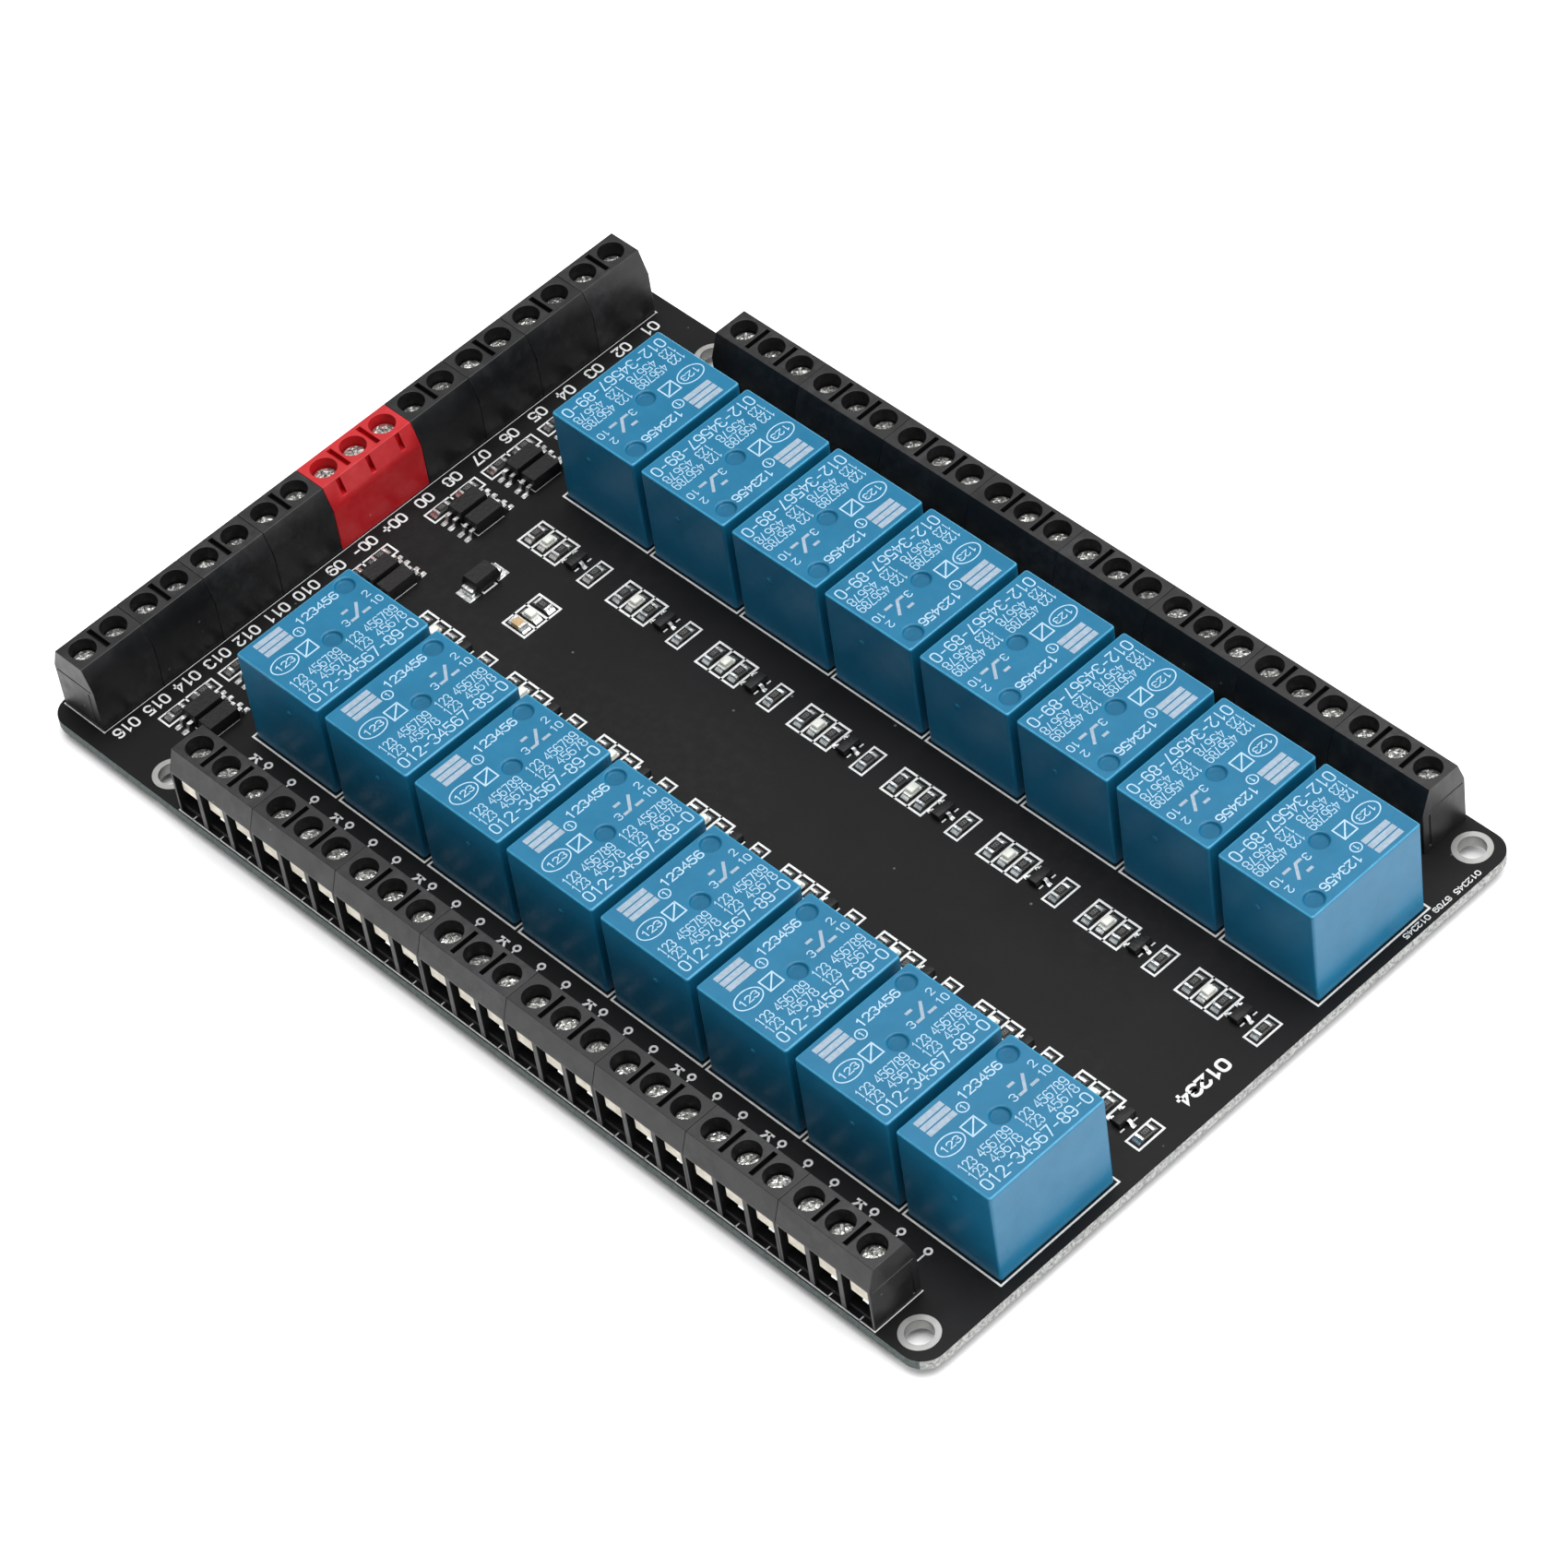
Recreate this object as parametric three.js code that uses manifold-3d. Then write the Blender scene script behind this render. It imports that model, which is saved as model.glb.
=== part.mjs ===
// Sixteen-channel relay board: a circuit board that carries two rows of eight
// relays, a row of screw terminals along each long edge for the switched
// outputs, and a third row across one end for the inputs and the supply.
// Millimetres, +Z up. X runs along the relay rows, away from the input row.
// The origin is under the middle of the board, level with the tips of its pins.

import * as THREE from 'three';
import { mergeVertices } from 'three/addons/utils/BufferGeometryUtils.js';
import Module from 'manifold-3d';

const wasm = await Module();
wasm.setup();

// ---- Circuit board ----
const BOARD = { length: 155.5, width: 101.4, thickness: 1.6, corner: 3.2 };
const PIN_LENGTH = 1.6;
const BOARD_TOP = PIN_LENGTH + BOARD.thickness;
const MOUNTING_HOLE = { diameter: 3.5, farX: 73.65, nearX: -57.4, y: 47.2 };
const PIN = { rootRadius: 0.95, tipRadius: 0.4, bury: 0.2, sides: 5 };

// ---- Relays ----
const CHANNELS_PER_ROW = 8;
const RELAY = { width: 15.0, length: 18.9, height: 15.3, corner: 0.6, wall: 0.8, pitch: 16.37 };
const RIGHT_RELAYS = { firstX: -46.45, y: 27.05 };
const LEFT_RELAYS = { firstX: -46.35, y: -26.65 };
const RELAY_PIN = { sideX: 6.0, contactY: -7.1, commonY: 7.1, coilY: 5.1 };

// ---- Screw terminals: "out" is the side where the wire goes in ----
const POLE_PITCH = 5.08;
const BLOCK_GAP = 0.12;
const TERMINAL = {
  height: 10.5,
  topOut: 2.45,
  topBack: -2.65,
  foreOut: 3.5,
  foreHeight: 7.4,
  backOut: -4.0,
  backHeight: 7.0,
};
const WIRE_WINDOW = { width: 3.9, height: 6.4, depth: 5.4 };
const SCREW_WELL = { radius: 1.8, sides: 12 };
const POLE_GROOVE = { width: 0.8, depth: 1.0, start: -2.0, end: 1.6 };
const OUTPUT_POLES = 3;
const INPUT_POLES = 2;
const RIGHT_OUTPUTS = { startX: -51.87, y: 46.7 };
const LEFT_OUTPUTS = { startX: -52.15, y: -46.88 };
const INPUTS = { x: -73.5, startY: 48.3 };
const INPUT_BLOCKS_PER_SIDE = 4;
const SUPPLY_POLES = ['minus', 'plus', 'common'];
const OUTPUT_POLE_NAMES = ['open', 'common', 'closed'];

// ---- Screw and clamp of one terminal pole, heights above the board ----
const SCREW = {
  headRadius: 1.5,
  headTop: 7.8,
  headBase: 6.7,
  shankRadius: 1.2,
  shankBase: 6.3,
  neckRadius: 0.75,
  footRadius: 1.15,
  footTop: 4.4,
  footBase: 3.9,
  slotWidth: 0.5,
  slotDepth: 0.6,
  sides: 12,
};
const CLAMP = { width: 3.2, back: -1.6, front: 2.9, base: 4.6, top: 6.1, holeRadius: 1.05 };

// ---- Inside the opened-up relay, heights above the board ----
const RELAY_BASE = { width: 12.8, length: 16.7, height: 1.4 };
const COIL = { y: 2.3, base: 3.1, top: 10.3, flange: 0.6, flangeRadius: 4.6, windingRadius: 4.2, bore: 1.8 };
const CORE = { radius: 1.45, headRadius: 2.4, headBase: 10.6, headTop: 11.15 };
const YOKE = { width: 8.0, thickness: 1.1, backY: 8.0, legY: 7.2, frontY: -2.0, base: 1.7, top: 11.55 };
const ARMATURE = { width: 9.0, backY: 8.2, frontY: -1.5, base: 11.9, top: 12.7 };
const SPRING_BLADE = { width: 3.6, frontY: -7.8, rootY: -1.2, base: 12.1, top: 12.4 };
const CONTACT = { y: -6.3, radius: 1.2, movingBase: 11.7, movingTop: 12.8 };
const OPEN_CONTACT = { buttonTop: 10.3, tabTop: 9.8, tab: 0.4, outerY: -8.1, width: 3.6 };
const CLOSED_CONTACT = { buttonBase: 12.9, tabBase: 13.3, tab: 0.4, outerX: 4.6, depth: 2.4 };
const STRIP_BASE = 1.7;

const COLOURS = {
  board: ['#1b1c1d', 0.5, 0.0],
  relay: ['#2f79ad', 0.35, 0.0],
  black: ['#232427', 0.5, 0.0],
  red: ['#c62b32', 0.45, 0.0],
  screw: ['#c9cbc8', 0.25, 1.0],
  clamp: ['#d8d2c6', 0.35, 1.0],
  coil: ['#a5562c', 0.5, 0.3],
  iron: ['#8f9396', 0.4, 1.0],
  brass: ['#c9a456', 0.35, 1.0],
  base: ['#1f2c3a', 0.55, 0.0],
};

const object = new THREE.Group();

// ---- Solids ----

function toSolid(geometry) {
  const bare = geometry.clone();
  bare.deleteAttribute('normal');
  bare.deleteAttribute('uv');
  const merged = mergeVertices(bare, 1e-5);
  const vertProperties = new Float32Array(merged.attributes.position.array);
  const triVerts = new Uint32Array(merged.index.array);
  return new wasm.Manifold(new wasm.Mesh({ numProp: 3, vertProperties, triVerts }));
}

function toGeometry(solid) {
  const mesh = solid.getMesh();
  const geometry = new THREE.BufferGeometry();
  geometry.setAttribute('position', new THREE.BufferAttribute(mesh.vertProperties, 3));
  geometry.setIndex(new THREE.BufferAttribute(mesh.triVerts, 1));
  geometry.computeVertexNormals();
  return geometry;
}

function join(first, ...others) {
  return others.reduce((whole, piece) => whole.add(piece), first);
}

function cut(first, ...tools) {
  return tools.reduce((whole, tool) => whole.subtract(tool), first);
}

// A block from one corner to the opposite one.
function block([x0, y0, z0], [x1, y1, z1]) {
  const geometry = new THREE.BoxGeometry(x1 - x0, y1 - y0, z1 - z0);
  geometry.translate((x0 + x1) / 2, (y0 + y1) / 2, (z0 + z1) / 2);
  return toSolid(geometry);
}

// An upright round piece between two heights.
function round(x, y, z0, z1, radius, sides, topRadius = radius) {
  const geometry = new THREE.CylinderGeometry(topRadius, radius, z1 - z0, sides);
  geometry.rotateX(Math.PI / 2);
  geometry.translate(x, y, (z0 + z1) / 2);
  return toSolid(geometry);
}

// An upright turned piece from its [radius, height] outline.
function turned(outline, sides) {
  const points = outline.map(([radius, height]) => new THREE.Vector2(radius, height));
  const geometry = new THREE.LatheGeometry(points, sides);
  geometry.rotateX(Math.PI / 2);
  return geometry;
}

function roundedRectangle(width, length, corner) {
  const x = width / 2;
  const y = length / 2;
  const shape = new THREE.Shape();
  shape.moveTo(-x + corner, -y);
  shape.lineTo(x - corner, -y);
  shape.absarc(x - corner, -y + corner, corner, -Math.PI / 2, 0);
  shape.lineTo(x, y - corner);
  shape.absarc(x - corner, y - corner, corner, 0, Math.PI / 2);
  shape.lineTo(-x + corner, y);
  shape.absarc(-x + corner, y - corner, corner, Math.PI / 2, Math.PI);
  shape.lineTo(-x, -y + corner);
  shape.absarc(-x + corner, -y + corner, corner, Math.PI, 1.5 * Math.PI);
  return shape;
}

function addNode(name, solid, colour, parent = object) {
  const [color, roughness, metalness] = COLOURS[colour];
  const material = new THREE.MeshStandardMaterial({ color, roughness, metalness });
  const mesh = new THREE.Mesh(toGeometry(solid), material);
  mesh.name = name;
  parent.add(mesh);
}

function addGroup(x, y, z, turn = 0) {
  const group = new THREE.Group();
  group.position.set(x, y, z);
  group.rotation.z = turn;
  object.add(group);
  return group;
}

const twoDigits = (number) => String(number).padStart(2, '0');

// ---- Layout ----

// Every relay: its place, its channel and which way its contacts face.
function relayPlaces() {
  const rows = [
    { row: RIGHT_RELAYS, firstChannel: 1, turn: Math.PI },
    { row: LEFT_RELAYS, firstChannel: 1 + CHANNELS_PER_ROW, turn: 0 },
  ];
  return rows.flatMap(({ row, firstChannel, turn }) =>
    Array.from({ length: CHANNELS_PER_ROW }, (_, index) => ({
      x: row.firstX + index * RELAY.pitch,
      y: row.y,
      channel: firstChannel + index,
      turn,
    })),
  );
}

// Every terminal block: the place of its first pole's outer edge, the turn that
// points its wire side outwards, its number of poles, name and colour.
function outputBlocks() {
  const blockLength = OUTPUT_POLES * POLE_PITCH;
  const places = [];
  for (let index = 0; index < CHANNELS_PER_ROW; index += 1) {
    const right = RIGHT_OUTPUTS.startX + index * blockLength;
    const left = LEFT_OUTPUTS.startX + (index + 1) * blockLength;
    places.push({ channel: 1 + index, x: right, y: RIGHT_OUTPUTS.y, turn: 0 });
    places.push({ channel: 1 + CHANNELS_PER_ROW + index, x: left, y: LEFT_OUTPUTS.y, turn: Math.PI });
  }
  return places.map((place) => ({
    ...place,
    poles: OUTPUT_POLES,
    colour: 'black',
    name: `output_terminal_${twoDigits(place.channel)}`,
  }));
}

function inputBlocks() {
  const blocks = [];
  let y = INPUTS.startY;
  let input = 1;
  const place = (poles, name, colour) => {
    y -= poles * POLE_PITCH;
    blocks.push({ x: INPUTS.x, y, turn: Math.PI / 2, poles, name, colour });
  };
  const placeInputs = () => {
    for (let index = 0; index < INPUT_BLOCKS_PER_SIDE; index += 1) {
      place(INPUT_POLES, `input_terminal_${twoDigits(input)}_${twoDigits(input + 1)}`, 'black');
      input += INPUT_POLES;
    }
  };
  placeInputs();
  place(SUPPLY_POLES.length, 'supply_terminal', 'red');
  placeInputs();
  return blocks;
}

// A point of a block's own frame, on the board.
function onBoard(place, along, out) {
  const point = new THREE.Vector2(along, out).rotateAround(new THREE.Vector2(0, 0), place.turn);
  return [place.x + point.x, place.y + point.y];
}

// ---- Circuit board with its soldered pins ----

function relayPins(place) {
  const pins = [
    [-RELAY_PIN.sideX, RELAY_PIN.contactY],
    [RELAY_PIN.sideX, RELAY_PIN.contactY],
    [0, RELAY_PIN.commonY],
    [-RELAY_PIN.sideX, RELAY_PIN.coilY],
    [RELAY_PIN.sideX, RELAY_PIN.coilY],
  ];
  return pins.map(([x, y]) => onBoard(place, x, y));
}

function terminalPins(place) {
  return Array.from({ length: place.poles }, (_, pole) => onBoard(place, (pole + 0.5) * POLE_PITCH, 0));
}

function makeBoard(relays, blocks) {
  const shape = roundedRectangle(BOARD.length, BOARD.width, BOARD.corner);
  const geometry = new THREE.ExtrudeGeometry(shape, {
    depth: BOARD.thickness,
    bevelEnabled: false,
    curveSegments: 5,
  });
  geometry.translate(0, 0, PIN_LENGTH);
  const holes = [MOUNTING_HOLE.farX, MOUNTING_HOLE.nearX].flatMap((x) =>
    [-MOUNTING_HOLE.y, MOUNTING_HOLE.y].map((y) =>
      round(x, y, 0, BOARD_TOP + 1, MOUNTING_HOLE.diameter / 2, 20),
    ),
  );
  const pinTop = PIN_LENGTH + PIN.bury;
  const pins = [...relays.flatMap(relayPins), ...blocks.flatMap(terminalPins)].map(([x, y]) =>
    round(x, y, 0, pinTop, PIN.tipRadius, PIN.sides, PIN.rootRadius),
  );
  return join(cut(toSolid(geometry), ...holes), ...pins);
}

// ---- Relay cover: a thin box, open underneath ----

function makeRelayCover() {
  const shape = roundedRectangle(RELAY.width, RELAY.length, RELAY.corner);
  const geometry = new THREE.ExtrudeGeometry(shape, {
    depth: RELAY.height,
    bevelEnabled: false,
    curveSegments: 2,
  });
  const x = RELAY.width / 2 - RELAY.wall;
  const y = RELAY.length / 2 - RELAY.wall;
  const hollow = block([-x, -y, -1], [x, y, RELAY.height - RELAY.wall]);
  return cut(toSolid(geometry), hollow);
}

// ---- Terminal housing ----

function makeHousing(poles) {
  const outline = new THREE.Shape([
    new THREE.Vector2(TERMINAL.backOut, 0),
    new THREE.Vector2(TERMINAL.foreOut, 0),
    new THREE.Vector2(TERMINAL.foreOut, TERMINAL.foreHeight),
    new THREE.Vector2(TERMINAL.topOut, TERMINAL.height),
    new THREE.Vector2(TERMINAL.topBack, TERMINAL.height),
    new THREE.Vector2(TERMINAL.backOut, TERMINAL.backHeight),
  ]);
  const length = poles * POLE_PITCH - BLOCK_GAP;
  const geometry = new THREE.ExtrudeGeometry(outline, { depth: length, bevelEnabled: false });
  // The outline is drawn as (out, up), so turn it to stand along X.
  geometry.applyMatrix4(new THREE.Matrix4().set(0, 0, 1, 0, 1, 0, 0, 0, 0, 1, 0, 0, 0, 0, 0, 1));
  geometry.translate(BLOCK_GAP / 2, 0, 0);
  const tools = [];
  for (let pole = 0; pole < poles; pole += 1) {
    tools.push(...poleTools((pole + 0.5) * POLE_PITCH));
    if (pole > 0) {
      tools.push(makeGroove(pole * POLE_PITCH));
    }
  }
  return cut(toSolid(geometry), ...tools);
}

// The wire window and the screw well of one pole.
function poleTools(x) {
  const half = WIRE_WINDOW.width / 2;
  const back = TERMINAL.foreOut - WIRE_WINDOW.depth;
  const window = block([x - half, back, -1], [x + half, TERMINAL.foreOut + 1, WIRE_WINDOW.height]);
  const wellBase = WIRE_WINDOW.height - 1;
  const well = round(x, 0, wellBase, TERMINAL.height + 1, SCREW_WELL.radius, SCREW_WELL.sides);
  return [window, well];
}

// The groove that marks two poles of one block off from each other.
function makeGroove(x) {
  const half = POLE_GROOVE.width / 2;
  const floor = TERMINAL.height - POLE_GROOVE.depth;
  return block([x - half, POLE_GROOVE.start, floor], [x + half, POLE_GROOVE.end, TERMINAL.height + 1]);
}

// ---- Screw and clamp of one pole ----

function makeScrew() {
  const outline = [
    [0, SCREW.footBase],
    [SCREW.footRadius, SCREW.footBase],
    [SCREW.footRadius, SCREW.footTop],
    [SCREW.neckRadius, SCREW.footTop],
    [SCREW.neckRadius, SCREW.shankBase],
    [SCREW.shankRadius, SCREW.shankBase],
    [SCREW.shankRadius, SCREW.headBase],
    [SCREW.headRadius, SCREW.headBase],
    [SCREW.headRadius, SCREW.headTop],
    [0, SCREW.headTop],
  ];
  const half = SCREW.slotWidth / 2;
  const reach = SCREW.headRadius + 1;
  const floor = SCREW.headTop - SCREW.slotDepth;
  const slot = block([-half, -reach, floor], [half, reach, SCREW.headTop + 1]);
  return cut(toSolid(turned(outline, SCREW.sides)), slot);
}

function makeClamp() {
  const x = CLAMP.width / 2;
  const plate = block([-x, CLAMP.back, CLAMP.base], [x, CLAMP.front, CLAMP.top]);
  return cut(plate, round(0, 0, CLAMP.base - 1, CLAMP.top + 1, CLAMP.holeRadius, SCREW.sides));
}

function addScrewsAndClamps(place, prefix, poleNames) {
  poleNames.forEach((poleName, pole) => {
    const [x, y] = onBoard(place, (pole + 0.5) * POLE_PITCH, 0);
    const group = addGroup(x, y, BOARD_TOP, place.turn);
    addNode(`${prefix}_screw_${poleName}`, makeScrew(), 'screw', group);
    addNode(`${prefix}_clamp_${poleName}`, makeClamp(), 'clamp', group);
  });
}

// ---- Inside of the relay whose mechanism is built ----

function makeRelayBase() {
  const x = RELAY_BASE.width / 2;
  const y = RELAY_BASE.length / 2;
  return block([-x, -y, 0], [x, y, RELAY_BASE.height]);
}

function makeCoil() {
  const outline = [
    [COIL.bore, COIL.base],
    [COIL.flangeRadius, COIL.base],
    [COIL.flangeRadius, COIL.base + COIL.flange],
    [COIL.windingRadius, COIL.base + COIL.flange],
    [COIL.windingRadius, COIL.top - COIL.flange],
    [COIL.flangeRadius, COIL.top - COIL.flange],
    [COIL.flangeRadius, COIL.top],
    [COIL.bore, COIL.top],
    [COIL.bore, COIL.base],
  ];
  const geometry = turned(outline, 16);
  geometry.translate(0, COIL.y, 0);
  return toSolid(geometry);
}

function makeYoke() {
  const x = YOKE.width / 2;
  const foot = block([-x, YOKE.frontY, YOKE.base], [x, YOKE.backY, YOKE.base + YOKE.thickness]);
  const leg = block([-x, YOKE.legY, YOKE.base], [x, YOKE.backY, YOKE.top]);
  const core = round(0, COIL.y, YOKE.base + YOKE.thickness / 2, CORE.headTop, CORE.radius, 16);
  const head = round(0, COIL.y, CORE.headBase, CORE.headTop, CORE.headRadius, 16);
  return join(foot, leg, core, head);
}

function makeArmature() {
  const x = ARMATURE.width / 2;
  const bladeX = SPRING_BLADE.width / 2;
  const plate = block([-x, ARMATURE.frontY, ARMATURE.base], [x, ARMATURE.backY, ARMATURE.top]);
  const blade = block(
    [-bladeX, SPRING_BLADE.frontY, SPRING_BLADE.base],
    [bladeX, SPRING_BLADE.rootY, SPRING_BLADE.top],
  );
  const button = round(0, CONTACT.y, CONTACT.movingBase, CONTACT.movingTop, CONTACT.radius, 12);
  return join(plate, blade, button);
}

function makeOpenContact() {
  const { buttonTop, tabTop, tab, outerY, width } = OPEN_CONTACT;
  const x = width / 2;
  const strip = block([-x, outerY, STRIP_BASE], [x, outerY + tab, tabTop]);
  const shelf = block([-x, outerY, tabTop - tab], [x, CONTACT.y + CONTACT.radius, tabTop]);
  const button = round(0, CONTACT.y, tabTop - tab / 2, buttonTop, CONTACT.radius, 12);
  return join(strip, shelf, button);
}

function makeClosedContact() {
  const { buttonBase, tabBase, tab, outerX, depth } = CLOSED_CONTACT;
  const y0 = CONTACT.y - depth / 2;
  const y1 = CONTACT.y + depth / 2;
  const strip = block([outerX - tab, y0, STRIP_BASE], [outerX, y1, tabBase + tab]);
  const shelf = block([-CONTACT.radius, y0, tabBase], [outerX, y1, tabBase + tab]);
  const button = round(0, CONTACT.y, buttonBase, tabBase + tab / 2, CONTACT.radius, 12);
  return join(strip, shelf, button);
}

function addRelayInside(place) {
  const group = addGroup(place.x, place.y, BOARD_TOP, place.turn);
  const prefix = `relay_${twoDigits(place.channel)}`;
  addNode(`${prefix}_base`, makeRelayBase(), 'base', group);
  addNode(`${prefix}_coil`, makeCoil(), 'coil', group);
  addNode(`${prefix}_yoke`, makeYoke(), 'iron', group);
  addNode(`${prefix}_armature`, makeArmature(), 'iron', group);
  addNode(`${prefix}_contact_open`, makeOpenContact(), 'brass', group);
  addNode(`${prefix}_contact_closed`, makeClosedContact(), 'brass', group);
}

// ---- Assembly ----

const relays = relayPlaces();
const outputs = outputBlocks();
const inputs = inputBlocks();
const OPENED_CHANNEL = 2 * CHANNELS_PER_ROW;

addNode('circuit_board', makeBoard(relays, [...outputs, ...inputs]), 'board');

for (const place of relays) {
  const group = addGroup(place.x, place.y, BOARD_TOP, place.turn);
  addNode(`relay_${twoDigits(place.channel)}_cover`, makeRelayCover(), 'relay', group);
}

for (const place of [...outputs, ...inputs]) {
  const group = addGroup(place.x, place.y, BOARD_TOP, place.turn);
  addNode(place.name, makeHousing(place.poles), place.colour, group);
}

addRelayInside(relays.find(({ channel }) => channel === OPENED_CHANNEL));
addScrewsAndClamps(
  outputs.find(({ channel }) => channel === OPENED_CHANNEL),
  `output_${twoDigits(OPENED_CHANNEL)}`,
  OUTPUT_POLE_NAMES,
);
addScrewsAndClamps(inputs.find(({ name }) => name === 'supply_terminal'), 'supply', SUPPLY_POLES);

export default object;
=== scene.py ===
"""Sixteen-channel relay board: the looks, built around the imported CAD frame.

Sizes below are millimetres in the CAD frame's axes; meshes are scaled to metres as
they are made. The board, relays and terminals stand where their CAD nodes' boxes say;
holes, prints and small parts have named places in the same axes.
"""

import math

import bmesh
import bpy
from mathutils import Matrix, Vector


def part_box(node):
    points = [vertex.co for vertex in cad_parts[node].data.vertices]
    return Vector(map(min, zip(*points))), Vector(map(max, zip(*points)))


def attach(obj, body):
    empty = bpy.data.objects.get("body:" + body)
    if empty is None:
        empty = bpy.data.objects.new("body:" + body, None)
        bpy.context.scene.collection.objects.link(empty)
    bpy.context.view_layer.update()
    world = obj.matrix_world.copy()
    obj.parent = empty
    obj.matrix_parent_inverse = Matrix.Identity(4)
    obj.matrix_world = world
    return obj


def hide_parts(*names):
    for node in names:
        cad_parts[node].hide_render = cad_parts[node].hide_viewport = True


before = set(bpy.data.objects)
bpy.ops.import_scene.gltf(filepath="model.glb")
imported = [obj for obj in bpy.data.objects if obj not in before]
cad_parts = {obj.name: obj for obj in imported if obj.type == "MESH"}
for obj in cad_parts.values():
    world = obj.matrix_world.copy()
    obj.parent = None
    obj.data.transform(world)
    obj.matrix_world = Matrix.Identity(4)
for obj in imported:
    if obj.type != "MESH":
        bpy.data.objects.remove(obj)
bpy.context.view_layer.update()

MM = 0.001
SMOOTH_ANGLE = math.radians(38)
BEVEL_ANGLE = math.radians(32)


def corners(node):
    low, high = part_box(node)
    return low / MM, high / MM


BOARD_LOW, BOARD_HIGH = corners("circuit_board")
BOARD_TOP = BOARD_HIGH.z
BOARD_THICKNESS = 1.6
BOARD_UNDER = BOARD_TOP - BOARD_THICKNESS
PITCH = 5.08

# ---- materials


def srgb(red, green, blue):
    """An 8-bit screen colour as the linear value that shaders take."""

    def linear(channel):
        value = channel / 255
        return value / 12.92 if value <= 0.04045 else ((value + 0.055) / 1.055) ** 2.4

    return (linear(red), linear(green), linear(blue), 1.0)


# The Mix node's colour sockets go by number, because each of its data types repeats their names.
MIX_A, MIX_B, MIX_RESULT = 6, 7, 2
BUMP_HEIGHT = 0.0002


def set_inputs(node, values):
    for key, value in values.items():
        node.inputs[key].default_value = value


def noise(tree, where, size, detail, roughness):
    node = tree.nodes.new("ShaderNodeTexNoise")
    set_inputs(node, {"Scale": size, "Detail": detail, "Roughness": roughness})
    tree.links.new(where, node.inputs["Vector"])
    return node.outputs["Fac"]


def span(tree, source, start, end, first, last):
    """The source with start to end spread over first to last."""
    node = tree.nodes.new("ShaderNodeMapRange")
    set_inputs(node, {"From Min": start, "From Max": end, "To Min": first, "To Max": last})
    tree.links.new(source, node.inputs["Value"])
    return node.outputs["Result"]


def combine(tree, operation, one, other):
    node = tree.nodes.new("ShaderNodeMath")
    node.operation = operation
    tree.links.new(one, node.inputs[0])
    tree.links.new(other, node.inputs[1])
    return node.outputs["Value"]


def with_dust_and_sheen(tree, where, clean, tone, sheen_haze_amount, speck_amount, size):
    """The clean colour under small specks of dust and a patchy lighter haze, partly dust and partly a
    painted sheen of reflected light.
    """
    cells = tree.nodes.new("ShaderNodeTexVoronoi")
    set_inputs(cells, {"Scale": size})
    tree.links.new(where, cells.inputs["Vector"])
    tint = tree.nodes.new("ShaderNodeSeparateColor")
    tree.links.new(cells.outputs["Color"], tint.inputs["Color"])
    chosen = span(tree, tint.outputs["Red"], 0.72, 0.8, 0.0, speck_amount)
    dots = span(tree, cells.outputs["Distance"], 0.03, 0.07, 1.0, 0.0)
    specks = combine(tree, "MULTIPLY", dots, chosen)
    # the haze: partly dust, partly a painted sheen of reflected light
    fine, patches = noise(tree, where, size * 2, 6.0, 0.72), noise(tree, where, size / 8, 2.0, 0.5)
    sheen_haze = span(tree, combine(tree, "MULTIPLY", fine, patches), 0.27, 0.42, 0.0, sheen_haze_amount)
    mix = tree.nodes.new("ShaderNodeMix")
    mix.data_type = "RGBA"
    set_inputs(mix, {MIX_B: tone})
    tree.links.new(combine(tree, "MAXIMUM", specks, sheen_haze), mix.inputs["Factor"])
    tree.links.new(clean, mix.inputs[MIX_A])
    return mix.outputs[MIX_RESULT]


def finish_material(
    name, dark, light, scale=400.0, rough=(0.35, 0.5), metal=0.0, bump=0.05, bump_scale=2500.0,
    specular=0.5, smear=None, coat=0.0, dust_and_sheen=None,
):
    """A procedural finish: colour drifts between two tones, roughness and height follow noise.

    Pattern scales are per metre; the last argument is a tone, the strength of the haze and of the specks,
    and a scale; the haze is partly dust and partly painted sheen.
    """
    material = bpy.data.materials.new(name)
    material.use_nodes = True
    tree = material.node_tree
    nodes, links = tree.nodes, tree.links
    shader = nodes["Principled BSDF"]
    # every piece starts elsewhere in the pattern, so that equal pieces don't look copied
    shifted = nodes.new("ShaderNodeVectorMath")
    links.new(nodes.new("ShaderNodeTexCoord").outputs["Object"], shifted.inputs[0])
    links.new(nodes.new("ShaderNodeObjectInfo").outputs["Random"], shifted.inputs[1])
    mapping = nodes.new("ShaderNodeMapping")
    if smear:
        set_inputs(mapping, {"Scale": smear})
    links.new(shifted.outputs["Vector"], mapping.inputs["Vector"])
    where = mapping.outputs["Vector"]

    ramp = nodes.new("ShaderNodeValToRGB")
    for stop, position, colour in zip(ramp.color_ramp.elements, (0.32, 0.68), (dark, light)):
        stop.position, stop.color = position, colour
    links.new(noise(tree, where, scale, 3.0, 0.55), ramp.inputs["Fac"])
    colour = ramp.outputs["Color"]
    links.new(with_dust_and_sheen(tree, where, colour, *dust_and_sheen) if dust_and_sheen else colour, shader.inputs["Base Color"])

    gloss = span(tree, noise(tree, where, scale * 2.3, 4.0, 0.6), 0.3, 0.7, *rough)
    links.new(gloss, shader.inputs["Roughness"])
    height = nodes.new("ShaderNodeBump")
    set_inputs(height, {"Strength": bump, "Distance": BUMP_HEIGHT})
    links.new(noise(tree, where, bump_scale, 2.0, 0.5), height.inputs["Height"])
    links.new(height.outputs["Normal"], shader.inputs["Normal"])
    set_inputs(shader, {"Metallic": metal, "Specular IOR Level": specular, "Coat Weight": coat})
    return material


# where a finish has a haze, it is partly dust and partly a painted sheen of reflected light
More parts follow.
